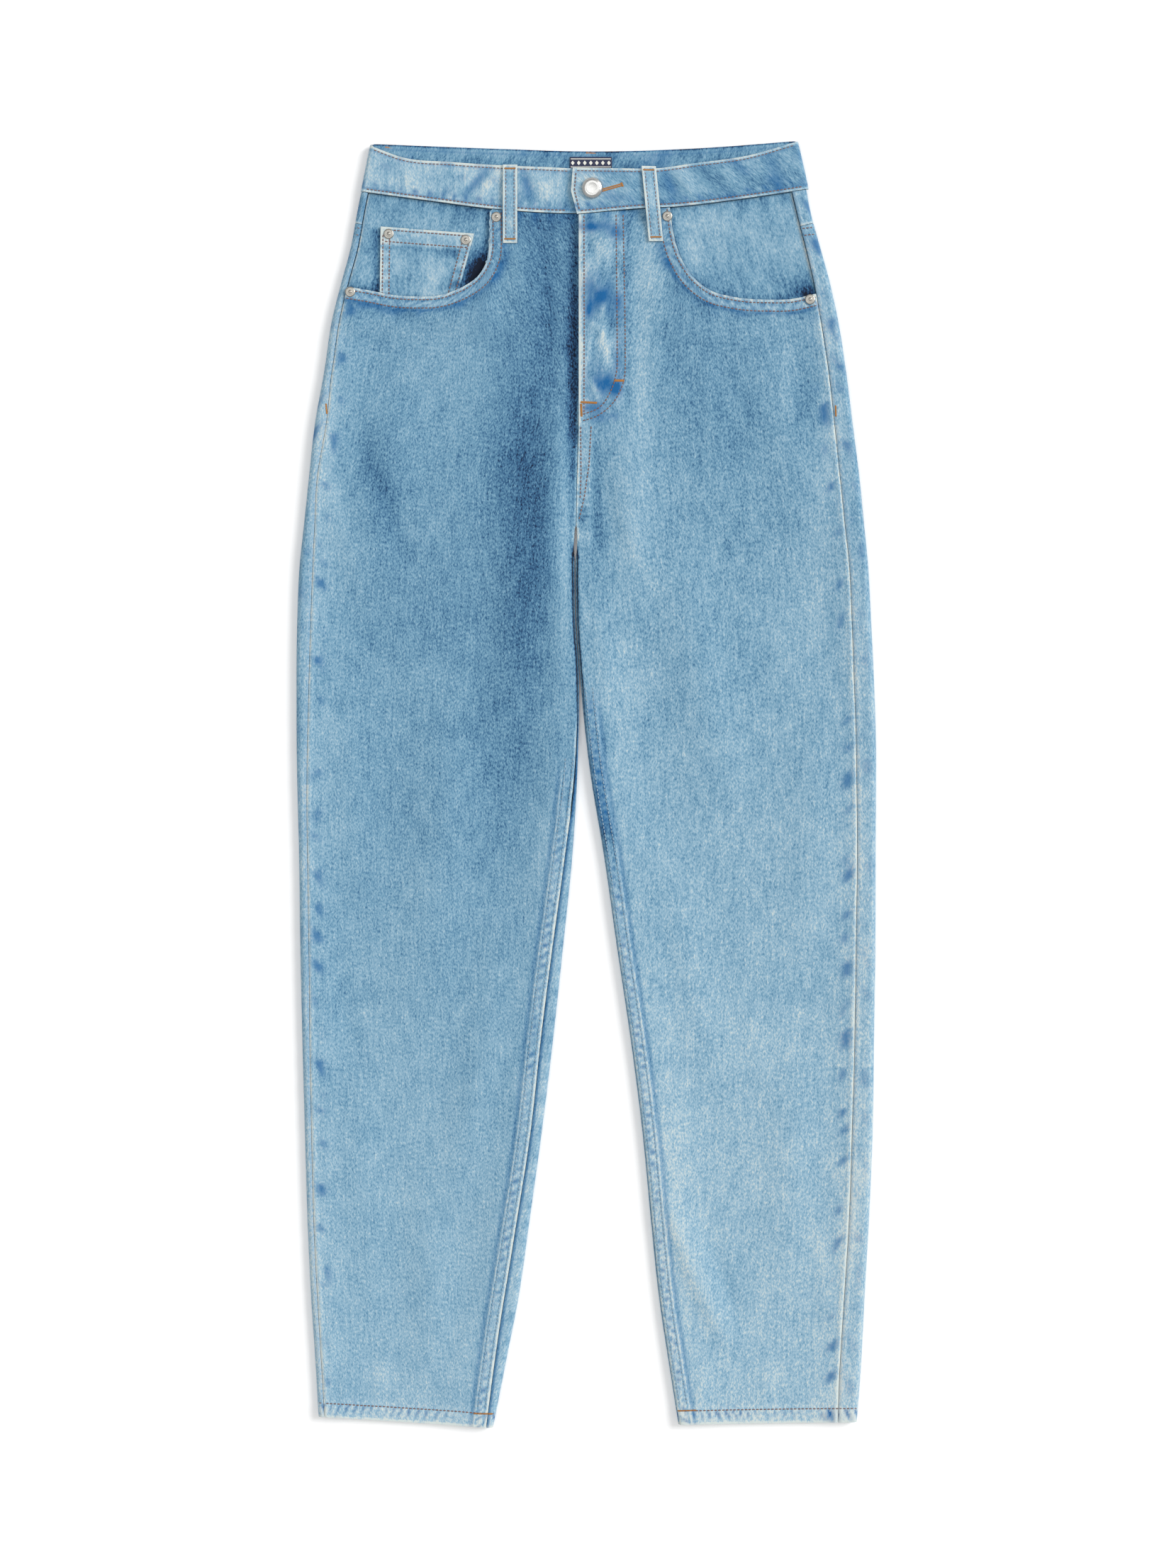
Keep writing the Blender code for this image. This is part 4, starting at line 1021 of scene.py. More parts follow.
def finish_back(name, side, points, top_y, has_hem):
    """Relief and wash of a yoke or a back panel, with painted shadow in the gap between the legs; its
    underside stays on the floor.
    """
    x, y = points[..., 0], points[..., 1]
    from_side, row_length = arc_lengths(points)
    from_inner = row_length - from_side
    from_top, from_hem = top_y - y, y - hem_level(side, x)
    seed = 61 if side == "right" else 81
    normals = grid_normals(points, -1)
    upward = ease(normals[..., 2] * 2.0)
    low = ease(-normals[..., 2] * 2.0)
    relief = upward * (-0.45 * hump(from_side / 0.8) + 0.2 * hump((from_side - 2.2) / 1.2))
    relief += upward * 0.16 * pucker(y, PUCKERS["side"], seed) * hump((from_side - 5.0) / 4.0)
    relief += upward * -0.4 * hump(from_inner / 0.8)
    soft = -0.35 - 0.22 * noise(x, y, 55, seed + 1) - 0.10 * noise(x, y, 18, seed + 2)
    seam = plateau(from_inner, -1.0, FELL_WIDTH, 1.0) * ease((y - CROTCH) / 10.0)
    relief += low * (soft + 0.30 * seam)
    gathered = pucker(x, PUCKERS["yoke"], seed + 3)
    relief += low * -0.25 * np.abs(gathered) * hump(from_top / 8.0)
    hem = ease((HEM_DEPTH - from_hem) / 2.0) * has_hem
    twist = pucker(x + 0.4 * from_hem, PUCKERS["twist"], seed + 5)
    relief += (0.2 * upward - 0.15 * low) * twist * hem * ease(from_hem / 2.5)
    wash_and_shading = broad_wash_and_shading(side, x, y)
    wash_and_shading += 0.10 * hump((from_side - 2.0) / 2.4) + 0.05 * noise(x, y, 30, seed + 4)
    wash_and_shading += 0.08 * upward
    high = ease((y - 120.0) / 120.0)
    indigo = (0.35 + 0.55 * high) * roping(y, from_side - 1.5, seed) * upward
    indigo += 0.6 * upward * hump((from_inner - 0.8) / 1.4) * (y < CROTCH)
    indigo += 0.3 * upward * hump((from_side - 0.6) / 1.0)
    wash_and_shading += -0.16 * hump((from_inner - 9.0) / 4.0) * ease(pucker(y, 19.0, seed + 6) * 2) * (y < CROTCH)
    wash_and_shading += 0.12 * seam * (1 + pucker(y, PUCKERS["fell"], seed + 7))
    # Painted shadow along the inner edge below the crotch, on top and underneath, where the gap between the
    # legs shows
    groove = upward * hump(from_inner / 1.7) * (y < CROTCH)
    wash_and_shading += -0.32 * groove - 0.4 * low * hump(from_inner / 6.0) * plateau(y, 60.0, CROTCH, 40.0)
    wash_and_shading += -0.14 * hump((from_top - 8.0) / 5.0) * (0.6 + 0.6 * gathered)
    wash_and_shading += 0.07 * hem * twist + 0.12 * hem
    indigo += 0.9 * hem * ease(-1.6 * twist - 0.3) * hump((from_hem - 8.5) / 4.0)
    indigo += 0.5 * low * hump((from_top - 8.0) / 5.0) * ease(gathered * 1.4)
    points = points + normals * relief[..., None]
    edge = np.minimum(from_side + 1.5 + 0.7 * (y > HIP), from_inner + 0.5 + 2.4 * (y < CROTCH))
    if has_hem:
        edge = np.minimum(edge, from_hem)
    else:
        edge = np.minimum(edge, y - y.min(axis=0, keepdims=True))
    weights = hem_weights(from_hem) if has_hem else None
    wall, thin = (HEM_WALL, WALL / HEM_WALL) if has_hem else (WALL, 1.0)
    layers = {"wash_and_shading": wash_and_shading, "edge": edge, "indigo": indigo}
    cloth_piece(name, points, wall, layers, faces=-1, weights=weights, thin=thin)


def build_back(side):
    """The yoke and the back panel of one side, which wrap round onto the front."""
    def section(y):
        return back_section(side, y, BACK_TURN_STEPS, BACK_FLAT_STEPS)

    def seams(y):
        sections = section(y)
        x, z = sections[:, 0], sections[:, 1]
        up = ease((z - z.min()) / max(z.max() - z.min(), 0.1))
        waist = (1 - up) * EDGE["back"]["foot"](x) + up * EDGE[side]["foot"](x) - WAIST_GAP
        yoke = YOKE_CENTRE + (YOKE_SIDE - YOKE_CENTRE) * np.abs(x) / np.abs(x).max()
        return waist, yoke

    waist, _ = seams(478.0)
    _, yoke = seams(440.0)
    upper = along_columns(section, np.linspace(waist, yoke + CLEARANCE / 2, 20))
    finish_back(f"yoke_{side}", side, upper, waist[None], False)
    count = int((YOKE_CENTRE - HIP) / ROW_STEP)
    hip = np.linspace(yoke - CLEARANCE / 2, np.full(len(yoke), HIP), count)
    heights = np.concatenate([hip, leg_rows(side, section(HEM_COLUMNS)[:, 0], HIP)])
    lower = along_columns(section, heights)
    finish_back(f"back_{side}", side, lower, yoke[None], True)


def build_facing(side):
    """The denim that shows inside a front pocket."""
    sign = SIDES[side]
    edge = route(POCKET_EDGE[side], FACING_POINTS)
    direction = np.gradient(edge, axis=0)
    direction /= np.hypot(*direction.T)[:, None]
    out = np.stack([direction[:, 1], -direction[:, 0]], axis=1) * sign
    outline = edge + out * FACING_UNDER * ease(np.linspace(3.2, 0.0, FACING_POINTS))[:, None]
    corner, count = FACING_CORNER, FACING_POINTS - 1
    right = resample(outline[:corner + 1], np.linspace(0, 1, count))
    bottom = resample(outline[corner:][::-1], np.linspace(0, 1, count))
    bottom[0, 0] = side_seam(side, bottom[0, 1])
    right[0, 1] = float(EDGE[side]["foot"](right[0, 0])) - WAIST_GAP
    right = right[::-1]
    bottom[-1] = right[0]
    left_y = np.linspace(bottom[0, 1], float(EDGE[side]["foot"](side_seam(side, 484.0))) - WAIST_GAP, count)
    left = np.stack([side_seam(side, left_y), left_y], axis=1)
    xs = np.linspace(left[-1, 0], right[-1, 0], count)
    top = np.stack([xs, EDGE[side]["foot"](xs) - WAIST_GAP], axis=1)
    steps = np.linspace(0, 1, count)
    flat = coons(bottom, top, left, right, steps, steps)
    x, y = flat[..., 0], flat[..., 1]
    seed = 91 if side == "right" else 95
    from_waist = EDGE[side]["foot"](x) - y
    from_side = np.abs(x - side_seam(side, y))
    from_pocket = distance(x, y, edge)
    z = front_height(side, x, y) - FACING_DROP
    z = z + 0.25 * noise(x, y, 30, seed) - 0.4 * hump(from_side / 1.0)
    gathered = pucker(x, PUCKERS["facing"], seed + 1)
    z = z + 0.22 * gathered * hump(from_waist / 10.0)
    wash_and_shading = 0.54 + 0.05 * (side == "left")
    wash_and_shading = wash_and_shading + 0.10 * noise(x, y, 26, seed + 2) + 0.05 * noise(x, y, 9, seed + 3)
    # Painted shade under the waistband's edge, deeper in the gathers
    wash_and_shading += -0.20 * hump(from_waist / 10.0) * (0.6 + 0.6 * gathered)
    # Painted shadow under the pocket's edge; roping blotches beside the side seam
    wash_and_shading += -0.20 * hump(from_pocket / 6.0) - 0.12 * roping(y, from_side, seed)
    wash_and_shading += patches(FACING_SHADE[side], x, y)
    # Painted shadow beside the coin pocket's left edge
    if side == "right":
        wash_and_shading += -0.25 * hump((x + 172.0) / 4.0) * ease((458.0 - y) / 6.0)
    points = np.stack([x, y, z], axis=2)
    layers = {"wash_and_shading": wash_and_shading, "edge": from_side + 0.3}
    cloth_piece(f"pocket_facing_{side}", points, FACING_WALL, layers, slot="denim_facing", bevel=0.3)


def patch(corners, columns, rows):
    """A straight-sided patch of (x, y) between four corners, from the top left round."""
    top_left, top_right, low_right, low_left = (np.array(c, float) for c in corners)
    u = np.asarray(columns)[None, :, None]
    v = np.asarray(rows)[:, None, None]
    return (1 - v) * ((1 - u) * top_left + u * top_right) + v * ((1 - u) * low_left + u * low_right)


def build_coin_pocket():
    steps = spread(70.0, 16)
    flat = patch(COIN_POCKET, steps, steps)
    x, y = flat[..., 0], flat[..., 1]
    corners = [np.array(c) for c in COIN_POCKET]
    from_top = distance(x, y, corners[:2])
    from_left = distance(x, y, [corners[3], corners[0]])
    from_right = distance(x, y, corners[1:3])
    border = np.minimum(from_left, from_right)
    z = front_height("right", x, y) - FACING_DROP + CLEARANCE + FACING_WALL
    hem = plateau(from_top, -1.0, COIN_HEM, 1.0)
    z = z + 0.35 * hem + 0.10 * noise(x, y, 12, 101)
    roped = pucker(y, 9.0, 102)
    z = z + plateau(border, -1.0, COIN_BORDER, 1.2) * (0.25 + 0.12 * roped) * (1 - hem)
    wash_and_shading = 0.58 + 0.11 * noise(x, y, 14, 103) + 0.09 * noise(x, y, 6, 104)
    wash_and_shading += patches(COIN_SHADE, x, y)
    wash_and_shading += 0.14 * hem + plateau(border, -1.0, COIN_BORDER - 1.0, 1.5) * (0.10 + 0.14 * roped)
    wash_and_shading += -0.16 * hump((from_top - COIN_HEM - 3.0) / 3.0)
    layers = {"wash_and_shading": wash_and_shading, "edge": np.minimum(border, from_top)}
    points = np.stack([x, y, z], axis=2)
    cloth_piece("coin_pocket", points, FACING_WALL, layers, slot="denim_facing", bevel=0.35)


def band_front_height(side, x):
    if side == "right":
        return BAND_FRONT + 0.0 * x
    return BAND_FRONT + BAND_LAP * (1 - ease((x - LAP_START) / (LAP_END - LAP_START)))


def band_points(v):
    """The waistband's outer face, from the end under the lap round the back to the lapped end."""
    half_width = (BAND_FRONT - BAND_BACK) / 2
    middle = (BAND_FRONT + BAND_BACK) / 2
    left_edge = np.interp(v, (0, 1), BAND_LEFT_EDGE)
    right_edge = np.interp(v, (0, 1), BAND_RIGHT_EDGE)
    end = np.interp(v, (0, 0.5, 1), BAND_END)
    stations = []

    def add(x, up, z):
        y = np.zeros(len(v))
        for part, share in (("back", 1 - up), ("right", up * (x < 0)), ("left", up * (x >= 0))):
            y = y + share * ((1 - v) * EDGE[part]["top"](x) + v * EDGE[part]["foot"](x))
        stations.append(np.stack([x, y, z + 0.0 * v], axis=1))

    def add_front(side, x):
        y = (1 - v) * EDGE[side]["top"](x) + v * EDGE[side]["foot"](x)
        stations.append(np.stack([x, y, band_front_height(side, x)], axis=1))

    def add_fold(x_edge, inward, angles):
        for angle in angles:
            x = x_edge + inward * half_width * (1 - np.cos(angle))
            add(x, (1 + np.sin(angle)) / 2, middle + half_width * np.sin(angle))

    for t in np.linspace(0, 1, BAND_FRONT_STEPS + 1)[:-1]:
        add_front("right", (1 - t) * BAND_UNDER_END + t * (left_edge + half_width))
    add_fold(left_edge, 1, np.linspace(np.pi / 2, -np.pi / 2, BAND_FOLD_STEPS + 1))
    for t in np.linspace(0, 1, BAND_BACK_STEPS + 1)[1:-1]:
        add((1 - t) * (left_edge + half_width) + t * (right_edge - half_width), 0.0, BAND_BACK)
    add_fold(right_edge, -1, np.linspace(-np.pi / 2, np.pi / 2, BAND_FOLD_STEPS + 1))
    for t in spread(BAND_HALF_LENGTH, BAND_LAP_STEPS)[EDGE_STEPS.size // 2:]:
        add_front("left", (1 - t) * (right_edge - half_width) + t * end)
    return np.stack(stations, axis=1)


# The waistband's creases, as the folds
BAND_CREASES = (
    (-72, 500, -88, 478, 0.9, 3.5),
    (-80, 503, -100, 482, -0.7, 4.0),
    (-95, 498, -112, 480, 0.5, 4.0),
    (-52, 500, -44, 480, -0.6, 4.0),
    (-40, 498, -30, 474, 0.5, 4.5),
    (-150, 508, -142, 484, 0.4, 6.0),
    (38, 497, 30, 476, 0.6, 3.5),
    (64, 500, 74, 480, -0.6, 4.5),
    (74, 502, 88, 482, 0.6, 4.5),
    (112, 506, 122, 486, 0.4, 6.0),
    (150, 514, 158, 492, -0.4, 6.0),
)


def build_band():
    v = spread(BAND_WIDTH, 5)
    points = band_points(v)
    x, y = points[..., 0], points[..., 1]
    normals = grid_normals(points, -1)
    upward = ease(normals[..., 2] * 2.0)
    down, band_length = arc_lengths(points)
    across = v[:, None] * BAND_WIDTH + 0.0 * down
    from_top, from_foot = across, BAND_WIDTH - across
    from_end = band_length - down
    foot_pucker, top_pucker = pucker(down, 7.5, 112), pucker(down, 8.5, 113)
    creases = ridges(BAND_CREASES, x, y) * upward
    relief = creases + 0.15 * noise(down, across, 24, 111)
    relief += 0.16 * foot_pucker * hump((from_foot - 6.0) / 4.0)
    relief += 0.10 * top_pucker * hump((from_top - 3.5) / 3.0)
    relief += lines(from_foot, BAND_FOOT_RELIEF) + lines(from_top, BAND_TOP_RELIEF)
    relief = np.where(normals[..., 2] < -0.5, np.minimum(relief, 0.1) - 0.2, relief)
    wash_and_shading = 0.55 + 0.10 * noise(down, across * 1.6, 22, 114) + 0.07 * noise(down, across, 8, 115)
    wash_and_shading += 0.16 * creases + 0.10 * hump(from_top / 5.0) * (1 + 0.7 * top_pucker)
    wash_and_shading += -0.14 * hump((from_foot - 6.0) / 3.2) * (0.4 + 0.8 * foot_pucker)
    wash_and_shading += 0.14 * hump(from_end / 24.0) - 0.06 * upward * (x > 60) + 0.13 * upward * (x < -20)
    edge = np.minimum(np.minimum(from_top, from_foot), from_end)
    # Painted shade on the inside of the back band where it shows above the front band, darkest in a line
    # along its top edge
    beneath = ease(-normals[..., 2] * 3.0)
    wash_and_shading += beneath * (-0.10 - 0.40 * hump(from_top / 1.4))
    edge = edge + 9.0 * beneath * (from_top < 12.0)
    points = points + normals * relief[..., None]
    indigo = 0.8 * hump((from_foot - 6.5) / 2.6) * ease(1.5 * pucker(down, 11.0, 116) - 0.2)
    indigo += 0.5 * hump((from_foot - 3.2) / 0.8) + 0.35 * hump((from_top - 3.6) / 0.9)
    indigo += 0.9 * np.maximum(-creases, 0.0) + 0.35 * ease(noise(down, across, 13, 117) * 1.6 - 0.5)
    layers = {"wash_and_shading": wash_and_shading, "edge": edge, "indigo": indigo}
    cloth_piece("waistband", points, BAND_WALL, layers, faces=-1, slot="denim_band", bevel=0.9)


def face_under_loop(side, x, y):
    foot = EDGE[side]["foot"](x)
    share = ease((y - foot + 16.0) / 12.0)
    return share * band_front_height(side, x) + (1 - share) * front_height(side, x, y)


def loop_layers(x, y, seed):
    """Relief and wash of a belt loop, and how far in from its sides each point lies."""
    across = np.minimum(LOOP_COLUMNS, 1 - LOOP_COLUMNS)[None, :] * LOOP_WIDTH + 0.0 * y
    ridge = 0.28 * hump((across - 1.0) / 1.0) - 0.15 * hump((across - 2.6) / 0.7)
    relief = ridge + 0.08 * pucker(y, 6.0, seed) + 0.10 * noise(x, y, 7, seed + 1)
    wash_and_shading = 0.68 + 0.10 * noise(x, y, 9, seed + 2) + 0.12 * hump(across / 1.4)
    wash_and_shading += -0.14 * hump((across - 3.4) / 1.3) * (0.5 + 0.6 * pucker(y, 6.0, seed))
    return relief, wash_and_shading, across


def build_front_loop(side):
    (top_x, top_y), (foot_x, foot_y) = FRONT_LOOPS[side]
    half = LOOP_WIDTH / 2
    corners = (
        (top_x - half, top_y), (top_x + half, top_y), (foot_x + half, foot_y), (foot_x - half, foot_y),
    )
    v = np.linspace(0, 1, LOOP_STEPS)
    flat = patch(corners, LOOP_COLUMNS, v)
    x, y = flat[..., 0], flat[..., 1]
    relief, wash_and_shading, across = loop_layers(x, y, 121 if side == "right" else 125)
    arch = LOOP_ARCH * np.sin(np.pi * v)[:, None]
    z = face_under_loop(side, x, y) + LOOP_SEAT + LOOP_WALL + arch + relief
    points = np.stack([x, y, z], axis=2)
    ends = np.minimum(y - y.min(), y.max() - y)
    layers = {"wash_and_shading": wash_and_shading + 0.10 * hump(ends / 4.0), "edge": np.minimum(across, ends)}
    cloth_piece(f"belt_loop_front_{side}", points, LOOP_WALL, layers, slot="denim_band", bevel=0.5)


def build_back_loop(name, x_centre):
    half = LOOP_WIDTH / 2
    top = float(EDGE["back"]["top"](x_centre)) - 0.5
    corners = (
        (x_centre - half, top), (x_centre + half, top),
        (x_centre + half, BACK_LOOP_FOOT), (x_centre - half, BACK_LOOP_FOOT),
    )
    flat = patch(corners, LOOP_COLUMNS, np.linspace(0, 1, LOOP_STEPS - 4))
    x, y = flat[..., 0], flat[..., 1]
    relief, wash_and_shading, across = loop_layers(x, y, 131)
    points = np.stack([x, y, np.maximum(0.35 - relief, 0.0)], axis=2)
    layers = {"wash_and_shading": wash_and_shading, "edge": across}
    wall = LOOP_WALL - 0.35
    cloth_piece(f"belt_loop_{name}", points, wall, layers, faces=-1, slot="denim_band", bevel=0.35)


def back_pocket_outline(side):
    """Corners of a back pocket, from its top left round."""
    centre = SIDES[side] * BACK_POCKET_CENTRE
    top, foot = BACK_POCKET_HALF
    low = BACK_POCKET_FOOT - BACK_POCKET_POINT
    return np.array((
        (centre - top, BACK_POCKET_TOP), (centre - foot, BACK_POCKET_FOOT), (centre, low),
        (centre + foot, BACK_POCKET_FOOT), (centre + top, BACK_POCKET_TOP),
    ))


def build_back_pocket(side):
    """A five-cornered patch on the seat, hemmed along its top."""
    centre = SIDES[side] * BACK_POCKET_CENTRE
    u = 2 * spread(140.0, 26)[None, :] - 1
    v = spread(150.0, 26)[:, None]
    half = BACK_POCKET_HALF[0] + v * (BACK_POCKET_HALF[1] - BACK_POCKET_HALF[0])
    low = BACK_POCKET_FOOT - BACK_POCKET_POINT * (1 - np.abs(u))
    x = centre + u * half
    y = BACK_POCKET_TOP + v * (low - BACK_POCKET_TOP)
    from_edge = distance(x, y, back_pocket_outline(side))
    from_top = BACK_POCKET_TOP - y
    seed = 141 if side == "right" else 151
    hem = plateau(from_top, -1.0, 14.0, 1.0)
    z = 0.32 - 0.18 * hem - 0.14 * plateau(from_edge, -1.0, 7.6, 1.0) * (1 - hem)
    z = z + 0.12 * noise(x, y, 26, seed) + 0.06 * pucker(x + y, 9.0, seed + 1) * hump(from_edge / 8.0)
    wash_and_shading = broad_wash_and_shading(side, x, y) + 0.05 * noise(x, y, 12, seed + 2)
    wash_and_shading += 0.10 * plateau(from_edge, -1.0, 7.0, 1.5) * (1 + pucker(x + y, 9.0, seed + 1))
    wash_and_shading += -0.14 * hump((from_edge - 10.0) / 3.0) + 0.05 * hem
    points = np.stack([x, y, np.maximum(z, 0.0)], axis=2)
    layers = {"wash_and_shading": wash_and_shading, "edge": np.minimum(from_edge, from_top)}
    cloth_piece(f"back_pocket_{side}", points, FACING_WALL - 0.3, layers, faces=-1, bevel=0.35)


def lay(line, pieces, looks, spacing=0.8):
    """A line of (x, y) laid on the pieces' outer faces: points and normals."""
    line = np.array(line, float)
    count = max(int(path_length(line) / spacing), 2)
    points, normals = [], []
    for x, y in resample(line, np.linspace(0, 1, count + 1)):
        best = None
        for piece in pieces:
            above = Vector((x, y, 60.0 * looks))
            hit, normal, _, _ = SURFACES[piece].ray_cast(above, Vector((0, 0, -looks)))
            if hit is not None and (best is None or hit.z * looks > best[0].z * looks):
                best = (hit, normal)
        if best is None:
            continue
        hit, normal = best
        points.append(hit)
        normals.append(normal if normal.z * looks > 0 else -normal)
    return np.array(points), np.array(normals)


THREAD_RUNS = {}


def add_stitches(group, starts, ends, normals, width, lift=0.0):
    THREAD_RUNS.setdefault(group, []).append((starts, ends, normals, width, lift))


def sew(group, line, pieces, looks=1, pitch=STITCH_PITCH, length=STITCH_LENGTH, width=STITCH_WIDTH):
    """A row of lock stitches along a line on the pieces."""
    points, normals = lay(line, pieces, looks)
    if len(points) < 3:
        return
    steps = np.linalg.norm(np.diff(points, axis=0), axis=1)
    along = np.concatenate([[0], np.cumsum(steps)])
    first = np.arange(0.3, along[-1] - length, pitch)
    wobble = 0.12 * np.random.default_rng(len(points)).uniform(-1, 1, len(first))

    def at(values, s):
        return np.stack([np.interp(s, along, values[:, k]) for k in range(3)], axis=1)

    starts, ends = at(points, first + wobble), at(points, first + wobble + length)
    add_stitches(group, starts, ends, at(normals, first + length / 2), width)


def bartack(group, start, end, pieces, looks=1, width=1.5):
    """A short bar of close stitches lying across its line."""
    points, normals = lay((start, end), pieces, looks, 0.42)
    if len(points) < 2:
        return
    forward = points[-1] - points[0]
    forward /= np.linalg.norm(forward)
    sideways = np.cross(normals, forward) * width / 2
    slant = forward * 0.2
    add_stitches(group, points - sideways - slant, points + sideways + slant, normals, 0.5, 0.25)


def offset_line(line, distance_in):
    """A line moved sideways, to the left of its direction."""
    line = np.array(line, float)
    direction = np.gradient(line, axis=0)
    direction /= np.maximum(np.hypot(*direction.T)[:, None], 1e-9)
    return line + np.stack([-direction[:, 1], direction[:, 0]], axis=1) * distance_in


# A stitch's rings: place along it, size, and lift in thicknesses
STITCH_RINGS = (
    (0.0, 0.30, -0.35),
    (0.16, 0.85, 0.05),
    (0.5, 1.0, 0.22),
    (0.84, 0.85, 0.05),
    (1.0, 0.30, -0.35),
)
STITCH_SIDES = 6


def build_threads():
    """Each group of stitches as one mesh of small arched tubes."""
    angles = np.linspace(0, 2 * np.pi, STITCH_SIDES, endpoint=False)
    for group, runs in THREAD_RUNS.items():
        vertices = []
        for starts, ends, normals, width, lift in runs:
            along = ends - starts
            sideways = np.cross(along, normals)
            sideways /= np.maximum(np.linalg.norm(sideways, axis=1, keepdims=True), 1e-9)
            rings = []
            for t, size, rise in STITCH_RINGS:
                centre = starts + t * along + normals * width * (rise + lift)
                for angle in angles:
                    side = sideways * np.cos(angle) + normals * 0.75 * np.sin(angle)
                    rings.append(centre + side * size * width / 2)
            vertices.append(np.stack(rings, axis=1))
        vertices = np.concatenate(vertices)
        count, per_stitch = vertices.shape[:2]
        faces = []
        for ring in range(len(STITCH_RINGS) - 1):
            for k in range(STITCH_SIDES):
                low, nxt = ring * STITCH_SIDES, (k + 1) % STITCH_SIDES
                faces.append((low + k, low + nxt, low + STITCH_SIDES + nxt, low + STITCH_SIDES + k))
        caps = [tuple(range(STITCH_SIDES))[::-1], tuple(range(per_stitch - STITCH_SIDES, per_stitch))]
        everything = []
        for stitch in range(count):
            base = stitch * per_stitch
            everything += [tuple(base + i for i in face) for face in faces + caps]
        mesh = bpy.data.meshes.new(f"stitching_{group}")
        mesh.from_pydata((vertices.reshape(-1, 3) * MM).tolist(), [], everything)
        mesh.shade_smooth()
        colour = group.split("_")[-1]
        mesh.materials.append(MATERIALS[f"thread_{colour}"])
        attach(add_object(f"stitching_{group}", mesh), "root")


def sew_front(side):
    """The stitching on one front panel."""
    name = f"front_{side}"
    sign = SIDES[side]
    pocket = route(POCKET_EDGE[side][::-1], LINE_POINTS)
    for row in POCKET_STITCHES:
        sew(f"pocket_{side}_brown", offset_line(pocket, row * sign), [name])
    leg = LEG[side]
    y = np.arange(FELL_START[side] - 4.0, FELL_END, -4.0)
    for row in FELL_ROWS:
        inward = np.maximum(leg["inseam_in"](y), 0.5) + row + 0.4 * (side == "left")
        inner = leg["inner"](y) + sign * inward
        sew(f"inseam_{side}_pale", np.stack([inner, y], axis=1), [name])
    low = hem_x_range(side)
    xs = np.linspace(*low, 40)
    hem = np.stack([xs, hem_level(side, xs) + HEM_DEPTH - 0.6], axis=1)
    sew(f"hem_{side}_brown", hem, [name, f"back_{side}"], 1)
    sew(f"hem_{side}_brown", hem, [f"back_{side}"], -1)


def hem_x_range(side):
    leg = LEG[side]
    sign = SIDES[side]
    return float(leg["outer"](-510.0)) - sign * 0.8, float(leg["inner"](-510.0)) + sign * 0.8


# Rows of the fly's edge and of the seam below it
FLY_EDGE_ROW = ((-1.8, 465), (-1.6, 380), (-1.8, 304))
FLY_SEAM_ROWS = (
    ((4.1, 293.4), (2.3, 261.5), (-1.7, 234.2), (-6.6, 214)),
    ((-4.6, 293), (-4.2, 255), (-5.0, 232)),
)

# The fly's bartacks: start, end and width
FLY_TACKS = (
    ((23.0, 330.3), (31.0, 330.3), 2.2),
    ((-4.4, 312.6), (8.6, 312.0), 2.0),
    ((-4.2, 311.0), (-3.8, 301.0), 2.0),
)


def sew_fly():
    """The fly's curved seam, its edge row, the seam below it and their bartacks."""
    for row in (route(FLY_CURVE, LINE_POINTS), route(FLY_CURVE_INNER, LINE_POINTS), FLY_EDGE_ROW):
        sew("fly_brown", row, ["front_left"])
    for row in FLY_SEAM_ROWS:
        sew("fly_brown", row, ["front_left", "front_right"])
    for start, end, width in FLY_TACKS:
        bartack("fly_orange", start, end, ["front_left"], width=width)


def sew_coin_pocket():
    corners = [np.array(c, float) for c in COIN_POCKET]
    top = np.linspace(corners[0], corners[1], 20)
    left = np.linspace(corners[0], corners[3], 20)
    right = np.linspace(corners[1], corners[2], 20)
    for row in (2.4, COIN_HEM - 1.6):
        sew("coin_pocket_brown", offset_line(top, -row)[1:-1], ["coin_pocket"])
    for row in (2.2, 7.6):
        sew("coin_pocket_brown", offset_line(left, row)[2:], ["coin_pocket"])
        sew("coin_pocket_brown", offset_line(right, -row)[2:], ["coin_pocket"])


# The waistband's rows: colour, part, edge, shift from it, from x to x, the way it faces, width
BAND_FRONT_ROWS = (
    ("brown", "right", "foot", 2.3, -180, -14, 1, STITCH_WIDTH),
    ("brown", "left", "foot", 2.3, -5, 178, 1, STITCH_WIDTH),
    ("brown", "right", "top", -2.4, -174, -14, 1, 0.8),
    ("brown", "left", "top", -2.4, -8, 171, 1, 0.8),
)
BAND_BACK_ROWS = (
    ("brown", "back", "foot", 2.3, -180, 178, -1, STITCH_WIDTH),
    ("pale", "back", "top", -2.6, -174, 171, -1, STITCH_WIDTH),
)
BAND_END_ROW = ((-8.4, 500), (-9.6, 485), (-5.4, 469))


def sew_band_rows(table):
    for colour, part, edge, shift, x_from, x_to, looks, width in table:
        xs = np.linspace(x_from, x_to, LINE_POINTS)
        row = np.stack([xs, EDGE[part][edge](xs) + shift], axis=1)
        sew(f"waistband_{colour}", row, ["waistband"], looks, width=width)


def sew_band():
    sew_band_rows(BAND_FRONT_ROWS)
    sew("waistband_brown", BAND_END_ROW, ["waistband"])
    sew_band_rows(BAND_BACK_ROWS)


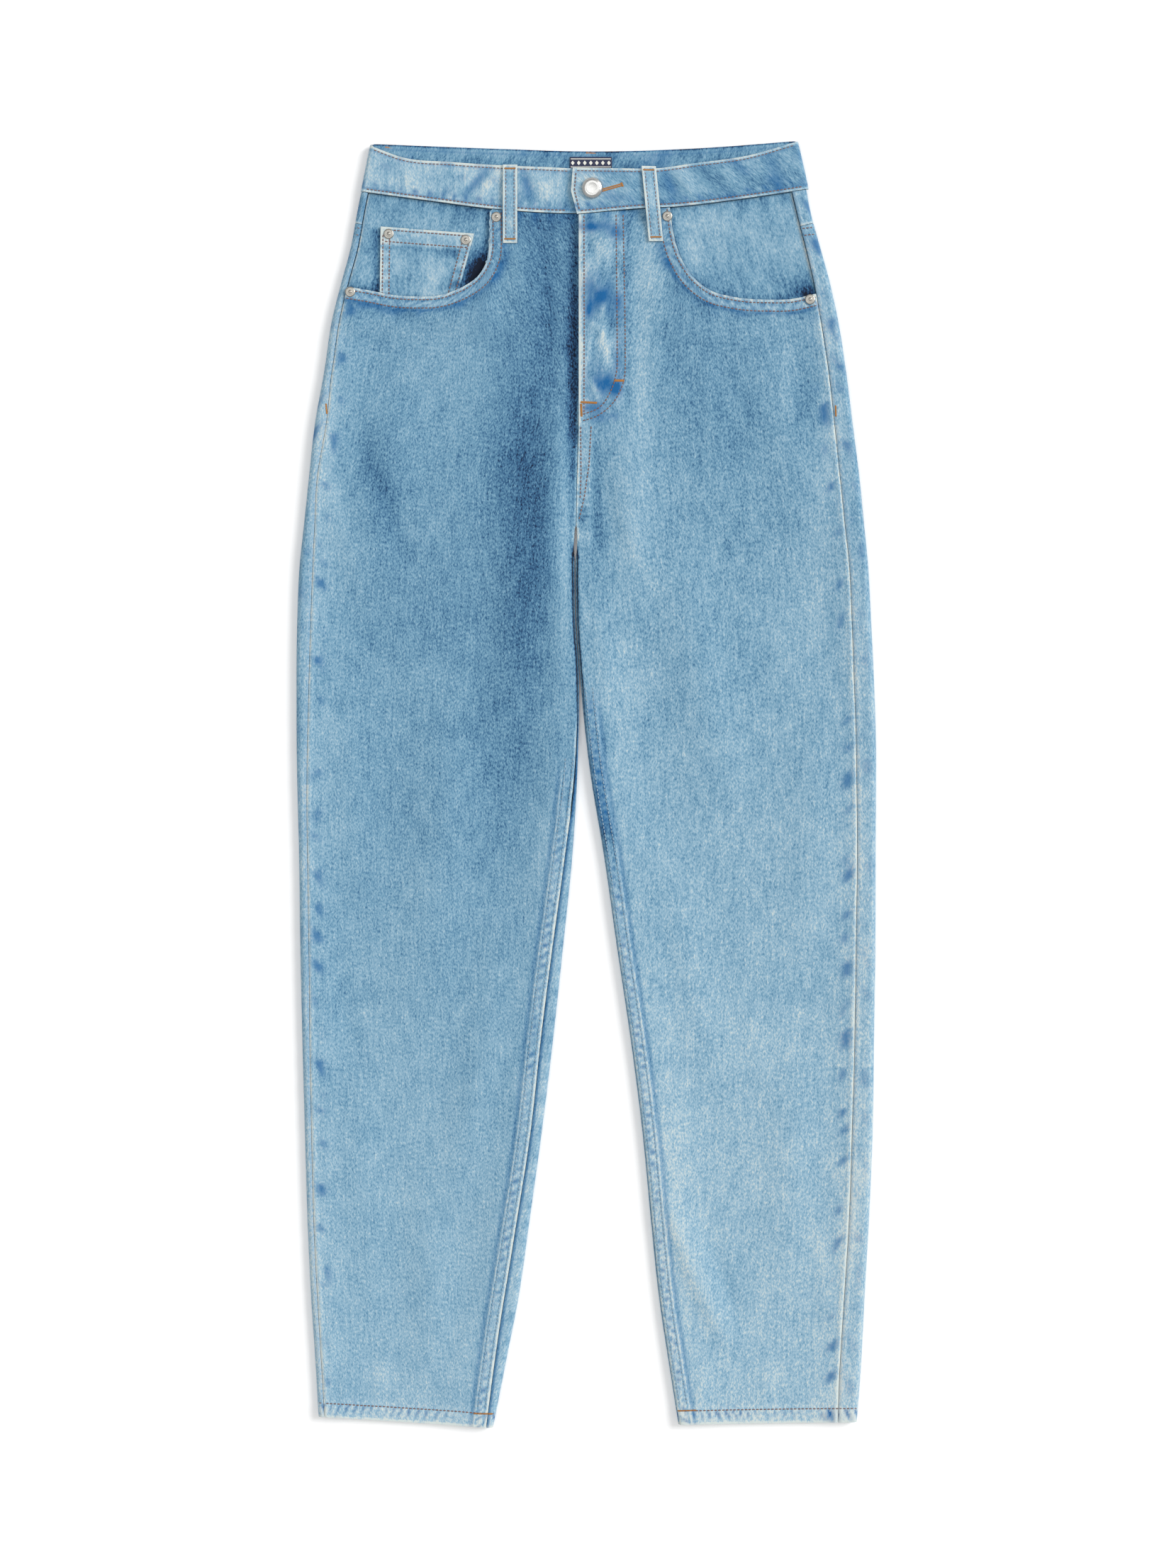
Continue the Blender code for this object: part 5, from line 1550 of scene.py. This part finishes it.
def sew_loops():
    """Two rows and two bartacks on each belt loop."""
    for side, ((top_x, top_y), (foot_x, foot_y)) in FRONT_LOOPS.items():
        piece = [f"belt_loop_front_{side}"]
        for off in (-LOOP_ROW, LOOP_ROW):
            line = ((top_x + off, top_y - 1.5), (foot_x + off, foot_y + 1.5))
            sew("loops_brown", line, piece, width=0.6)
        for x, y in ((top_x, top_y - 3.2), (foot_x, foot_y + 3.4)):
            bartack("loops_orange", (x - LOOP_TACK, y), (x + LOOP_TACK, y), piece)
    for name, x in BACK_LOOPS.items():
        piece = [f"belt_loop_{name}"]
        top = float(EDGE["back"]["top"](x)) - 2.0
        for off in (-LOOP_ROW, LOOP_ROW):
            sew("loops_back_pale", ((x + off, top), (x + off, BACK_LOOP_FOOT + 1.5)), piece, -1)
        for y in (top - 2.0, BACK_LOOP_FOOT + 3.2):
            bartack("loops_back_orange", (x - LOOP_TACK, y), (x + LOOP_TACK, y), piece, -1)


def sew_back():
    """The seams of the seat: yokes, centre back and back pockets."""
    for side, sign in SIDES.items():
        pieces = [f"back_{side}", f"yoke_{side}"]
        for row in BACK_SEAM_ROWS:
            xs = np.linspace(sign * 2 - 6.3, sign * YOKE_END, LINE_POINTS)
            ys = YOKE_CENTRE + (YOKE_SIDE - YOKE_CENTRE) * np.abs(xs) / YOKE_HALF - row
            sew(f"yoke_{side}_brown", np.stack([xs, ys], axis=1), pieces, -1)
            level = YOKE_SIDE - row - 1.0
            edge_x = float(LEG[side]["outer"](level))
            seam_x = edge_x - sign * (float(LEG[side]["outseam_in"](level)) - 1.0)
            line = ((seam_x, level - 1.2), (edge_x - sign * 0.6, level))
            sew(f"yoke_{side}_brown", line, pieces)
        outline = back_pocket_outline(side)
        middle = outline.mean(axis=0)
        for inset in BACK_SEAM_ROWS:
            toward = middle - outline
            shrunk = outline + toward / np.linalg.norm(toward, axis=1, keepdims=True) * inset * 1.35
            shrunk[(0, -1), 1] = BACK_POCKET_TOP - 0.8
            sew(f"back_pocket_{side}_brown", shrunk, [f"back_pocket_{side}"], -1)
        for row in (2.4, 12.6):
            level = BACK_POCKET_TOP - row
            line = ((outline[0, 0] + 3, level), (outline[-1, 0] - 3, level))
            sew(f"back_pocket_{side}_brown", line, [f"back_pocket_{side}"], -1)
    y = np.arange(473.0, 220.0, -5.0)
    for row in (2.6, 8.6):
        line = np.stack([LEG["left"]["inner"](y) + row, y], axis=1)
        sew("centre_back_brown", line, ["back_left", "yoke_left"], -1)


# Bartacks at the side seams and inside the back band: start, end, pieces and width
TACKS = (
    ((-212.6, 311.0), (-212.0, 303.0), ("back_right", "front_right"), 1.5),
    ((203.8, 309.5), (204.0, 301.0), ("back_left", "front_left"), 1.5),
    ((0.0, 516.6), (7.6, 516.2), ("band_inside",), 3.0),
    ((-164.5, 521.4), (-158.5, 520.6), ("band_inside",), 2.4),
)
HEM_TACK = 15.0


def sew_tacks():
    """The bartacks at the side seams, inside the back band and at the hems."""
    for start, end, pieces, width in TACKS:
        bartack("tacks_orange", start, end, pieces, width=width)
    for side, sign in SIDES.items():
        seam_in = float(LEG[side]["inseam_in"](-511.0)) - 3.0 + 3.6 * (side == "left")
        x = float(LEG[side]["inner"](-511.0)) + sign * seam_in
        level = float(hem_level(side, x)) + HEM_DEPTH - 0.6
        pieces = [f"front_{side}", f"back_{side}"]
        bartack("tacks_orange", (x, level), (x + sign * HEM_TACK, level + 0.5), pieces, width=1.5)


def node(tree, kind, inputs=None, **settings):
    made = tree.nodes.new(kind)
    for key, value in settings.items():
        setattr(made, key, value)
    for key, value in (inputs or {}).items():
        if isinstance(value, bpy.types.NodeSocket):
            tree.links.new(value, made.inputs[key])
        else:
            made.inputs[key].default_value = value
    return made


def maths(tree, operation, first, second=0.0, clamp=False):
    made = node(tree, "ShaderNodeMath", {0: first, 1: second}, operation=operation)
    made.use_clamp = clamp
    return made.outputs[0]


def linear(colour, level=1.0):
    """An sRGB colour as linear light, less by the level of the light on it."""
    c = np.array(colour, float)
    return tuple(np.where(c <= 0.04045, c / 12.92, ((c + 0.055) / 1.055) ** 2.4) / level) + (1.0,)


def streaks(tree, vector, across, along, angle, detail=2.0):
    """Noise with so many patches a metre across and along the cloth."""
    slanted = node(tree, "ShaderNodeVectorRotate", {
        "Vector": vector, "Angle": angle,
    }, rotation_type="Z_AXIS").outputs[0]
    mapped = node(tree, "ShaderNodeMapping", {
        "Vector": slanted, "Scale": (across, along, 1.0),
    }, vector_type="POINT")
    made = node(tree, "ShaderNodeTexNoise", {
        "Vector": mapped.outputs[0], "Scale": 1.0, "Detail": detail, "Roughness": 0.6,
    })
    return made.outputs[0]


def new_material(name):
    """A new material with its node tree and shader."""
    material = bpy.data.materials.new(name)
    material.use_nodes = True
    return material, material.node_tree, material.node_tree.nodes["Principled BSDF"]


def two_tones(tree, shader, factor, dark, light):
    """Colour the shader between two linear colours."""
    mix = node(tree, "ShaderNodeMix", {"Factor": factor, "A": dark, "B": light}, data_type="RGBA")
    tree.links.new(mix.outputs["Result"], shader.inputs["Base Color"])


def roughen(tree, shader, height, strength, depth):
    """Fine relief too small for the mesh."""
    bump = node(tree, "ShaderNodeBump", {"Height": height, "Strength": strength, "Distance": depth})
    tree.links.new(bump.outputs[0], shader.inputs["Normal"])


def tinted(colour, share):
    """A colour made darker or lighter, as linear light."""
    return linear([min(c * share, 1.0) for c in colour])


# How bright the studio light makes a flat white, as a share of the picture's white
STUDIO_LEVEL = 1.25

# The blue that stays in creases and beside seams, in sRGB
INDIGO = (0.09, 0.39, 0.62)

# The wash from deep indigo to bleached, as the colour under the studio light, in sRGB; its darkest stops
# also carry the painted shade, down to nearly black
WASH_AND_SHADING_COLOURS = (
    (0.00, (0.04, 0.09, 0.17)),
    (0.12, (0.11, 0.25, 0.41)),
    (0.27, (0.24, 0.43, 0.58)),
    (0.50, (0.44, 0.62, 0.73)),
    (0.75, (0.62, 0.75, 0.825)),
    (1.00, (0.83, 0.87, 0.86)),
)


# The cloth's noises: patches a metre across and along it, slant and detail
CLOTH_NOISE = {
    "grain": (800.0, 430.0, 0.12, 2.0),
    "slub": (430.0, 40.0, 0.0, 2.0),
    "twill": (1500.0, 230.0, -0.5, 2.0),
    "mottle": (90.0, 55.0, 0.0, 3.0),
}


def denim(name, speck=0.95, wear=0.55):
    """Washed denim: twill, slubs and specks along the cloth, with worn pale edges."""
    material, tree, shader = new_material(name)
    cloth = node(tree, "ShaderNodeAttribute", attribute_name="cloth").outputs["Vector"]
    # The cloth's bleaching, with painted light and shade added into the same value
    wash_and_shading = node(tree, "ShaderNodeAttribute", attribute_name="wash_and_shading").outputs["Fac"]
    edge = node(tree, "ShaderNodeAttribute", attribute_name="edge").outputs["Fac"]
    grain, slub, twill, mottle = (streaks(tree, cloth, *values) for values in CLOTH_NOISE.values())
    value = wash_and_shading
    for texture, strength in ((grain, speck), (slub, 0.36), (twill, 0.45), (mottle, 0.26)):
        change = maths(tree, "MULTIPLY", maths(tree, "SUBTRACT", texture, 0.5), strength)
        value = maths(tree, "ADD", value, change)
    rim = node(tree, "ShaderNodeMapRange", {
        "Value": edge, "From Min": 0.8, "From Max": 2.5, "To Min": 1.0, "To Max": 0.0,
    }, interpolation_type="SMOOTHSTEP").outputs[0]
    uneven = maths(tree, "ADD", maths(tree, "MULTIPLY", mottle, 1.2), -0.15, True)
    worn = maths(tree, "MULTIPLY", rim, uneven)
    value = maths(tree, "ADD", value, maths(tree, "MULTIPLY", worn, wear), True)
    ramp = node(tree, "ShaderNodeValToRGB", {"Fac": value})
    ramp.color_ramp.interpolation = "LINEAR"
    stops = ramp.color_ramp.elements
    while len(stops) < len(WASH_AND_SHADING_COLOURS):
        stops.new(0.5)
    for stop, (place, colour) in zip(stops, WASH_AND_SHADING_COLOURS):
        stop.position = place
        stop.color = linear(colour, STUDIO_LEVEL)
    unfaded = node(tree, "ShaderNodeAttribute", attribute_name="indigo").outputs["Fac"]
    patchy = maths(tree, "ADD", maths(tree, "MULTIPLY", grain, 0.9), maths(tree, "MULTIPLY", mottle, 0.9))
    share = maths(tree, "MULTIPLY", unfaded, patchy, True)
    two_tones(tree, shader, share, ramp.outputs[0], linear(INDIGO, STUDIO_LEVEL))
    height = maths(tree, "ADD", maths(tree, "MULTIPLY", grain, 0.6), maths(tree, "MULTIPLY", twill, 0.5))
    height = maths(tree, "ADD", height, maths(tree, "MULTIPLY", slub, 0.35))
    roughen(tree, shader, height, 0.55, 0.6 * MM)
    shader.inputs["Roughness"].default_value = 0.92
    shader.inputs["Specular IOR Level"].default_value = 0.25
    shader.inputs["Sheen Weight"].default_value = 0.12
    shader.inputs["Sheen Roughness"].default_value = 0.5
    return material


def thread(name, colour):
    """Matt sewing thread with a fine twist."""
    material, tree, shader = new_material(name)
    place = node(tree, "ShaderNodeTexCoord").outputs["Object"]
    patchy = streaks(tree, place, 120.0, 120.0, 0.0)
    fine = streaks(tree, place, 2600.0, 2600.0, 0.0)
    fibres = maths(tree, "MULTIPLY", fine, 0.4)
    share = maths(tree, "ADD", maths(tree, "MULTIPLY", patchy, 0.7), fibres, True)
    two_tones(tree, shader, share, tinted(colour, 0.72), tinted(colour, 1.18))
    roughen(tree, shader, fine, 0.5, 0.3 * MM)
    shader.inputs["Roughness"].default_value = 0.75
    return material


def metal(name, colour, roughness, scratch):
    """Satin metal with fine scratches and a little tarnish."""
    material, tree, shader = new_material(name)
    place = node(tree, "ShaderNodeTexCoord").outputs["Object"]
    cloudy = streaks(tree, place, 500.0, 500.0, 0.0)
    fine = streaks(tree, place, 900.0, 5200.0, 0.4)
    two_tones(tree, shader, cloudy, tinted(colour, 0.82), tinted(colour, 1.0))
    rough = maths(tree, "ADD", maths(tree, "MULTIPLY", fine, scratch), roughness, True)
    tree.links.new(rough, shader.inputs["Roughness"])
    roughen(tree, shader, fine, 0.12, 0.2 * MM)
    shader.inputs["Metallic"].default_value = 1.0
    return material


def woven(name, colour):
    """Smooth woven label cloth."""
    material, tree, shader = new_material(name)
    place = node(tree, "ShaderNodeTexCoord").outputs["Object"]
    weft = streaks(tree, place, 700.0, 4200.0, 0.0)
    two_tones(tree, shader, weft, tinted(colour, 0.8), tinted(colour, 1.2))
    roughen(tree, shader, weft, 0.5, 0.3 * MM)
    shader.inputs["Roughness"].default_value = 0.6
    shader.inputs["Sheen Weight"].default_value = 0.2
    return material


def turned(name, profile, steps, slot, replaced):
    """A round piece on the solid it replaces: its profile turned about an upright axis."""
    low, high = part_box(replaced)
    mesh = bpy.data.meshes.new(name)
    line = bmesh.new()
    points = [line.verts.new((radius * MM, 0.0, height * MM)) for radius, height in profile]
    for first, second in zip(points, points[1:]):
        line.edges.new((first, second))
    line.to_mesh(mesh)
    line.free()
    thing = add_object(name, mesh)
    mesh.materials.append(MATERIALS[slot])
    thing.location = ((low.x + high.x) / 2, (low.y + high.y) / 2, low.z)
    screw = thing.modifiers.new("turn", "SCREW")
    screw.steps = steps
    screw.render_steps = steps
    screw.use_merge_vertices = True
    screw.merge_threshold = 0.02 * MM
    screw.use_smooth_shade = True
    soft = thing.modifiers.new("rim", "BEVEL")
    soft.width = 0.12 * MM
    soft.segments = 2
    soft.angle_limit = 0.6
    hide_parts(replaced)
    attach(thing, "root")


# Profiles of (radius, height) from the middle of the face down to the back
BUTTON_PROFILE = (
    (0.0, 3.55), (2.0, 3.52), (3.6, 3.40), (4.9, 3.22), (5.3, 3.30), (5.9, 3.30), (6.3, 3.12),
    (7.3, 2.62), (8.1, 1.98), (8.5, 1.45), (8.6, 1.1), (8.45, 0.8), (7.4, 0.1), (0.0, 0.0),
)
RIVET_PROFILE = (
    (0.0, 1.55), (0.7, 1.5), (1.15, 1.28), (1.25, 0.95), (1.7, 0.78), (2.3, 0.92), (2.9, 1.0),
    (3.6, 0.9), (4.1, 0.6), (4.2, 0.25), (4.1, 0.0), (0.0, 0.0),
)


def build_metal():
    turned("button_dome", BUTTON_PROFILE, 64, "button_metal", "button")
    for rivet in sorted(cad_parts):
        if rivet.startswith("rivet_"):
            turned(f"{rivet}_head", RIVET_PROFILE, 36, "rivet_metal", rivet)


# The buttonhole's slit, from under the button to its far end
BUTTONHOLE = ((11.5, 484.8), (29.5, 489.9))


def sew_buttonhole():
    """The buttonhole's close stitches along a slit that runs out from under the button."""
    start, end = (np.array(p) for p in BUTTONHOLE)
    direction = (end - start) / np.linalg.norm(end - start)
    side = np.array((-direction[1], direction[0]))
    for sign in (-1, 1):
        line = (start + side * 0.75 * sign, end - direction * 1.0 + side * 0.75 * sign)
        bartack("buttonhole_orange", line[0], line[1], ["waistband"], width=1.3)
    tail = end + side * 1.6 - direction * 0.4
    bartack("buttonhole_orange", end - side * 1.6, tail, ["waistband"], width=1.8)


def build_label():
    """A plain woven label with a row of small diamonds."""
    x0, x1, y0, y1 = LABEL
    flat = patch(((x0, y1), (x1, y1), (x1, y0), (x0, y0)), spread(34.5, 8), spread(27.5, 6))
    x, y = flat[..., 0], flat[..., 1]
    top = BAND_BACK + BAND_WALL + CLEARANCE + LABEL_WALL
    edge = np.minimum(np.minimum(x - x0, x1 - x), np.minimum(y - y0, y1 - y))
    z = top + 0.12 * noise(x, y, 9, 161) - 0.2 * hump(edge / 0.8)
    points = np.stack([x, y, z], axis=2)
    layers = {"wash_and_shading": 0 * x, "edge": edge}
    cloth_piece("woven_label", points, LABEL_WALL, layers, slot="woven_label", bevel=0.2)
    row_y = y1 - DIAMOND_ROW
    half_x, half_y = DIAMOND_HALF
    shapes = []
    for k in range(DIAMONDS):
        cx = x0 + (k + 0.5) * (x1 - x0) / DIAMONDS
        low, high = (cx, row_y - half_y), (cx, row_y + half_y)
        shapes.append(((cx - half_x, row_y), low, (cx + half_x, row_y), high))
    left, right = x0 + LABEL_MARGIN, x1 - LABEL_MARGIN
    for level in (row_y + LABEL_LINE, row_y - LABEL_LINE):
        low, high = level - LABEL_LINE_HALF, level + LABEL_LINE_HALF
        shapes.append(((left, low), (right, low), (right, high), (left, high)))
    weaving = bmesh.new()
    z = (top + LABEL_RAISED) * MM
    for shape in shapes:
        weaving.faces.new([weaving.verts.new((px * MM, py * MM, z)) for px, py in shape])
    mesh = bpy.data.meshes.new("label_diamonds")
    weaving.to_mesh(mesh)
    weaving.free()
    mesh.materials.append(MATERIALS["label_cream"])
    thing = add_object("label_diamonds", mesh)
    solid = thing.modifiers.new("wall", "SOLIDIFY")
    solid.thickness = 0.3 * MM
    solid.offset = -1.0
    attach(thing, "root")


def soft_sun(name, place, spread_angle, strength):
    """An even light from the direction of a place, with soft shadows."""
    data = bpy.data.lights.new(name, "SUN")
    data.angle = spread_angle
    data.energy = strength
    thing = add_object(name, data)
    thing.location = place
    thing.rotation_euler = (-Vector(place)).to_track_quat("-Z", "Y").to_euler()


# The studio: where the lights stand, how wide they look and how strong they are
LIGHTS = {
    "key": ((1.9, 0.9, 1.5), 0.55, 2.5),
    "fill": ((-0.6, -0.3, 2.8), 0.9, 0.95),
}
ROOM_LIGHT = 0.50
FLOOR_HALF = 20.0
FLOOR_WHITE = 0.93
IMAGE_HEIGHT = 2212
PIXEL = 0.58                    # millimetres to a pixel of the picture, at the cloth
CAMERA_AIM = (1.45, 0.4, 5.0)   # in millimetres
LENS, SENSOR = 85.0, 36.0
FLOOR_DROP = 0.5                # the floor lies just under the stitches of the underside


def build_studio():
    """A white floor, a straight-down camera and soft light from the upper right."""
    floor_mesh = bpy.data.meshes.new("floor")
    plane = bmesh.new()
    bmesh.ops.create_grid(plane, x_segments=1, y_segments=1, size=FLOOR_HALF)
    plane.to_mesh(floor_mesh)
    plane.free()
    floor = add_object("floor", floor_mesh)
    floor.location.z = -FLOOR_DROP * MM
    material, _, shader = new_material("floor_white")
    shader.inputs["Base Color"].default_value = (FLOOR_WHITE, FLOOR_WHITE, FLOOR_WHITE, 1)
    shader.inputs["Roughness"].default_value = 0.9
    shader.inputs["Specular IOR Level"].default_value = 0.0
    floor_mesh.materials.append(material)

    world = bpy.data.worlds.new("studio")
    bpy.context.scene.world = world
    world.use_nodes = True
    background = world.node_tree.nodes["Background"]
    background.inputs["Color"].default_value = (1, 1, 1, 1)
    background.inputs["Strength"].default_value = ROOM_LIGHT
    for name, (place, spread_angle, strength) in LIGHTS.items():
        soft_sun(name, place, spread_angle, strength)

    camera_data = bpy.data.cameras.new("camera")
    camera_data.lens = LENS
    camera_data.sensor_width = SENSOR
    camera = add_object("camera", camera_data)
    away = IMAGE_HEIGHT * PIXEL * LENS / SENSOR
    camera.location = (CAMERA_AIM[0] * MM, CAMERA_AIM[1] * MM, (CAMERA_AIM[2] + away) * MM)
    camera_data.clip_end = 50.0
    bpy.context.scene.camera = camera
    bpy.context.scene.view_settings.view_transform = "Standard"


MATERIALS = {
    "denim": denim("denim_wash"),
    "denim_band": denim("denim_band_wash", 0.75, 0.6),
    "denim_facing": denim("denim_facing_wash", 0.75, 0.55),
    "button_metal": metal("button_satin", (0.86, 0.86, 0.85), 0.24, 0.14),
    "rivet_metal": metal("rivet_aged", (0.70, 0.69, 0.66), 0.32, 0.2),
    "woven_label": woven("label_navy", (0.07, 0.11, 0.24)),
    "label_cream": woven("label_cream", (0.88, 0.86, 0.80)),
}
for thread_name, thread_colour in THREADS.items():
    MATERIALS[thread_name] = thread(thread_name, thread_colour)


def main():
    build_studio()
    for side in SIDES:
        build_back(side)
        build_front(side)
        build_facing(side)
        build_front_loop(side)
        build_back_pocket(side)
        sew_front(side)
    build_coin_pocket()
    build_band()
    for name, x in BACK_LOOPS.items():
        build_back_loop(name, x)
    build_label()
    build_metal()
    inside = [(x, y, BAND_BACK + BAND_WALL) for y in (480.0, 530.0) for x in (-180.0, 180.0)]
    SURFACES["band_inside"] = BVHTree.FromPolygons(inside, [(0, 1, 3, 2)])
    sew_fly()
    sew_coin_pocket()
    sew_band()
    sew_buttonhole()
    sew_loops()
    sew_back()
    sew_tacks()
    build_threads()


main()
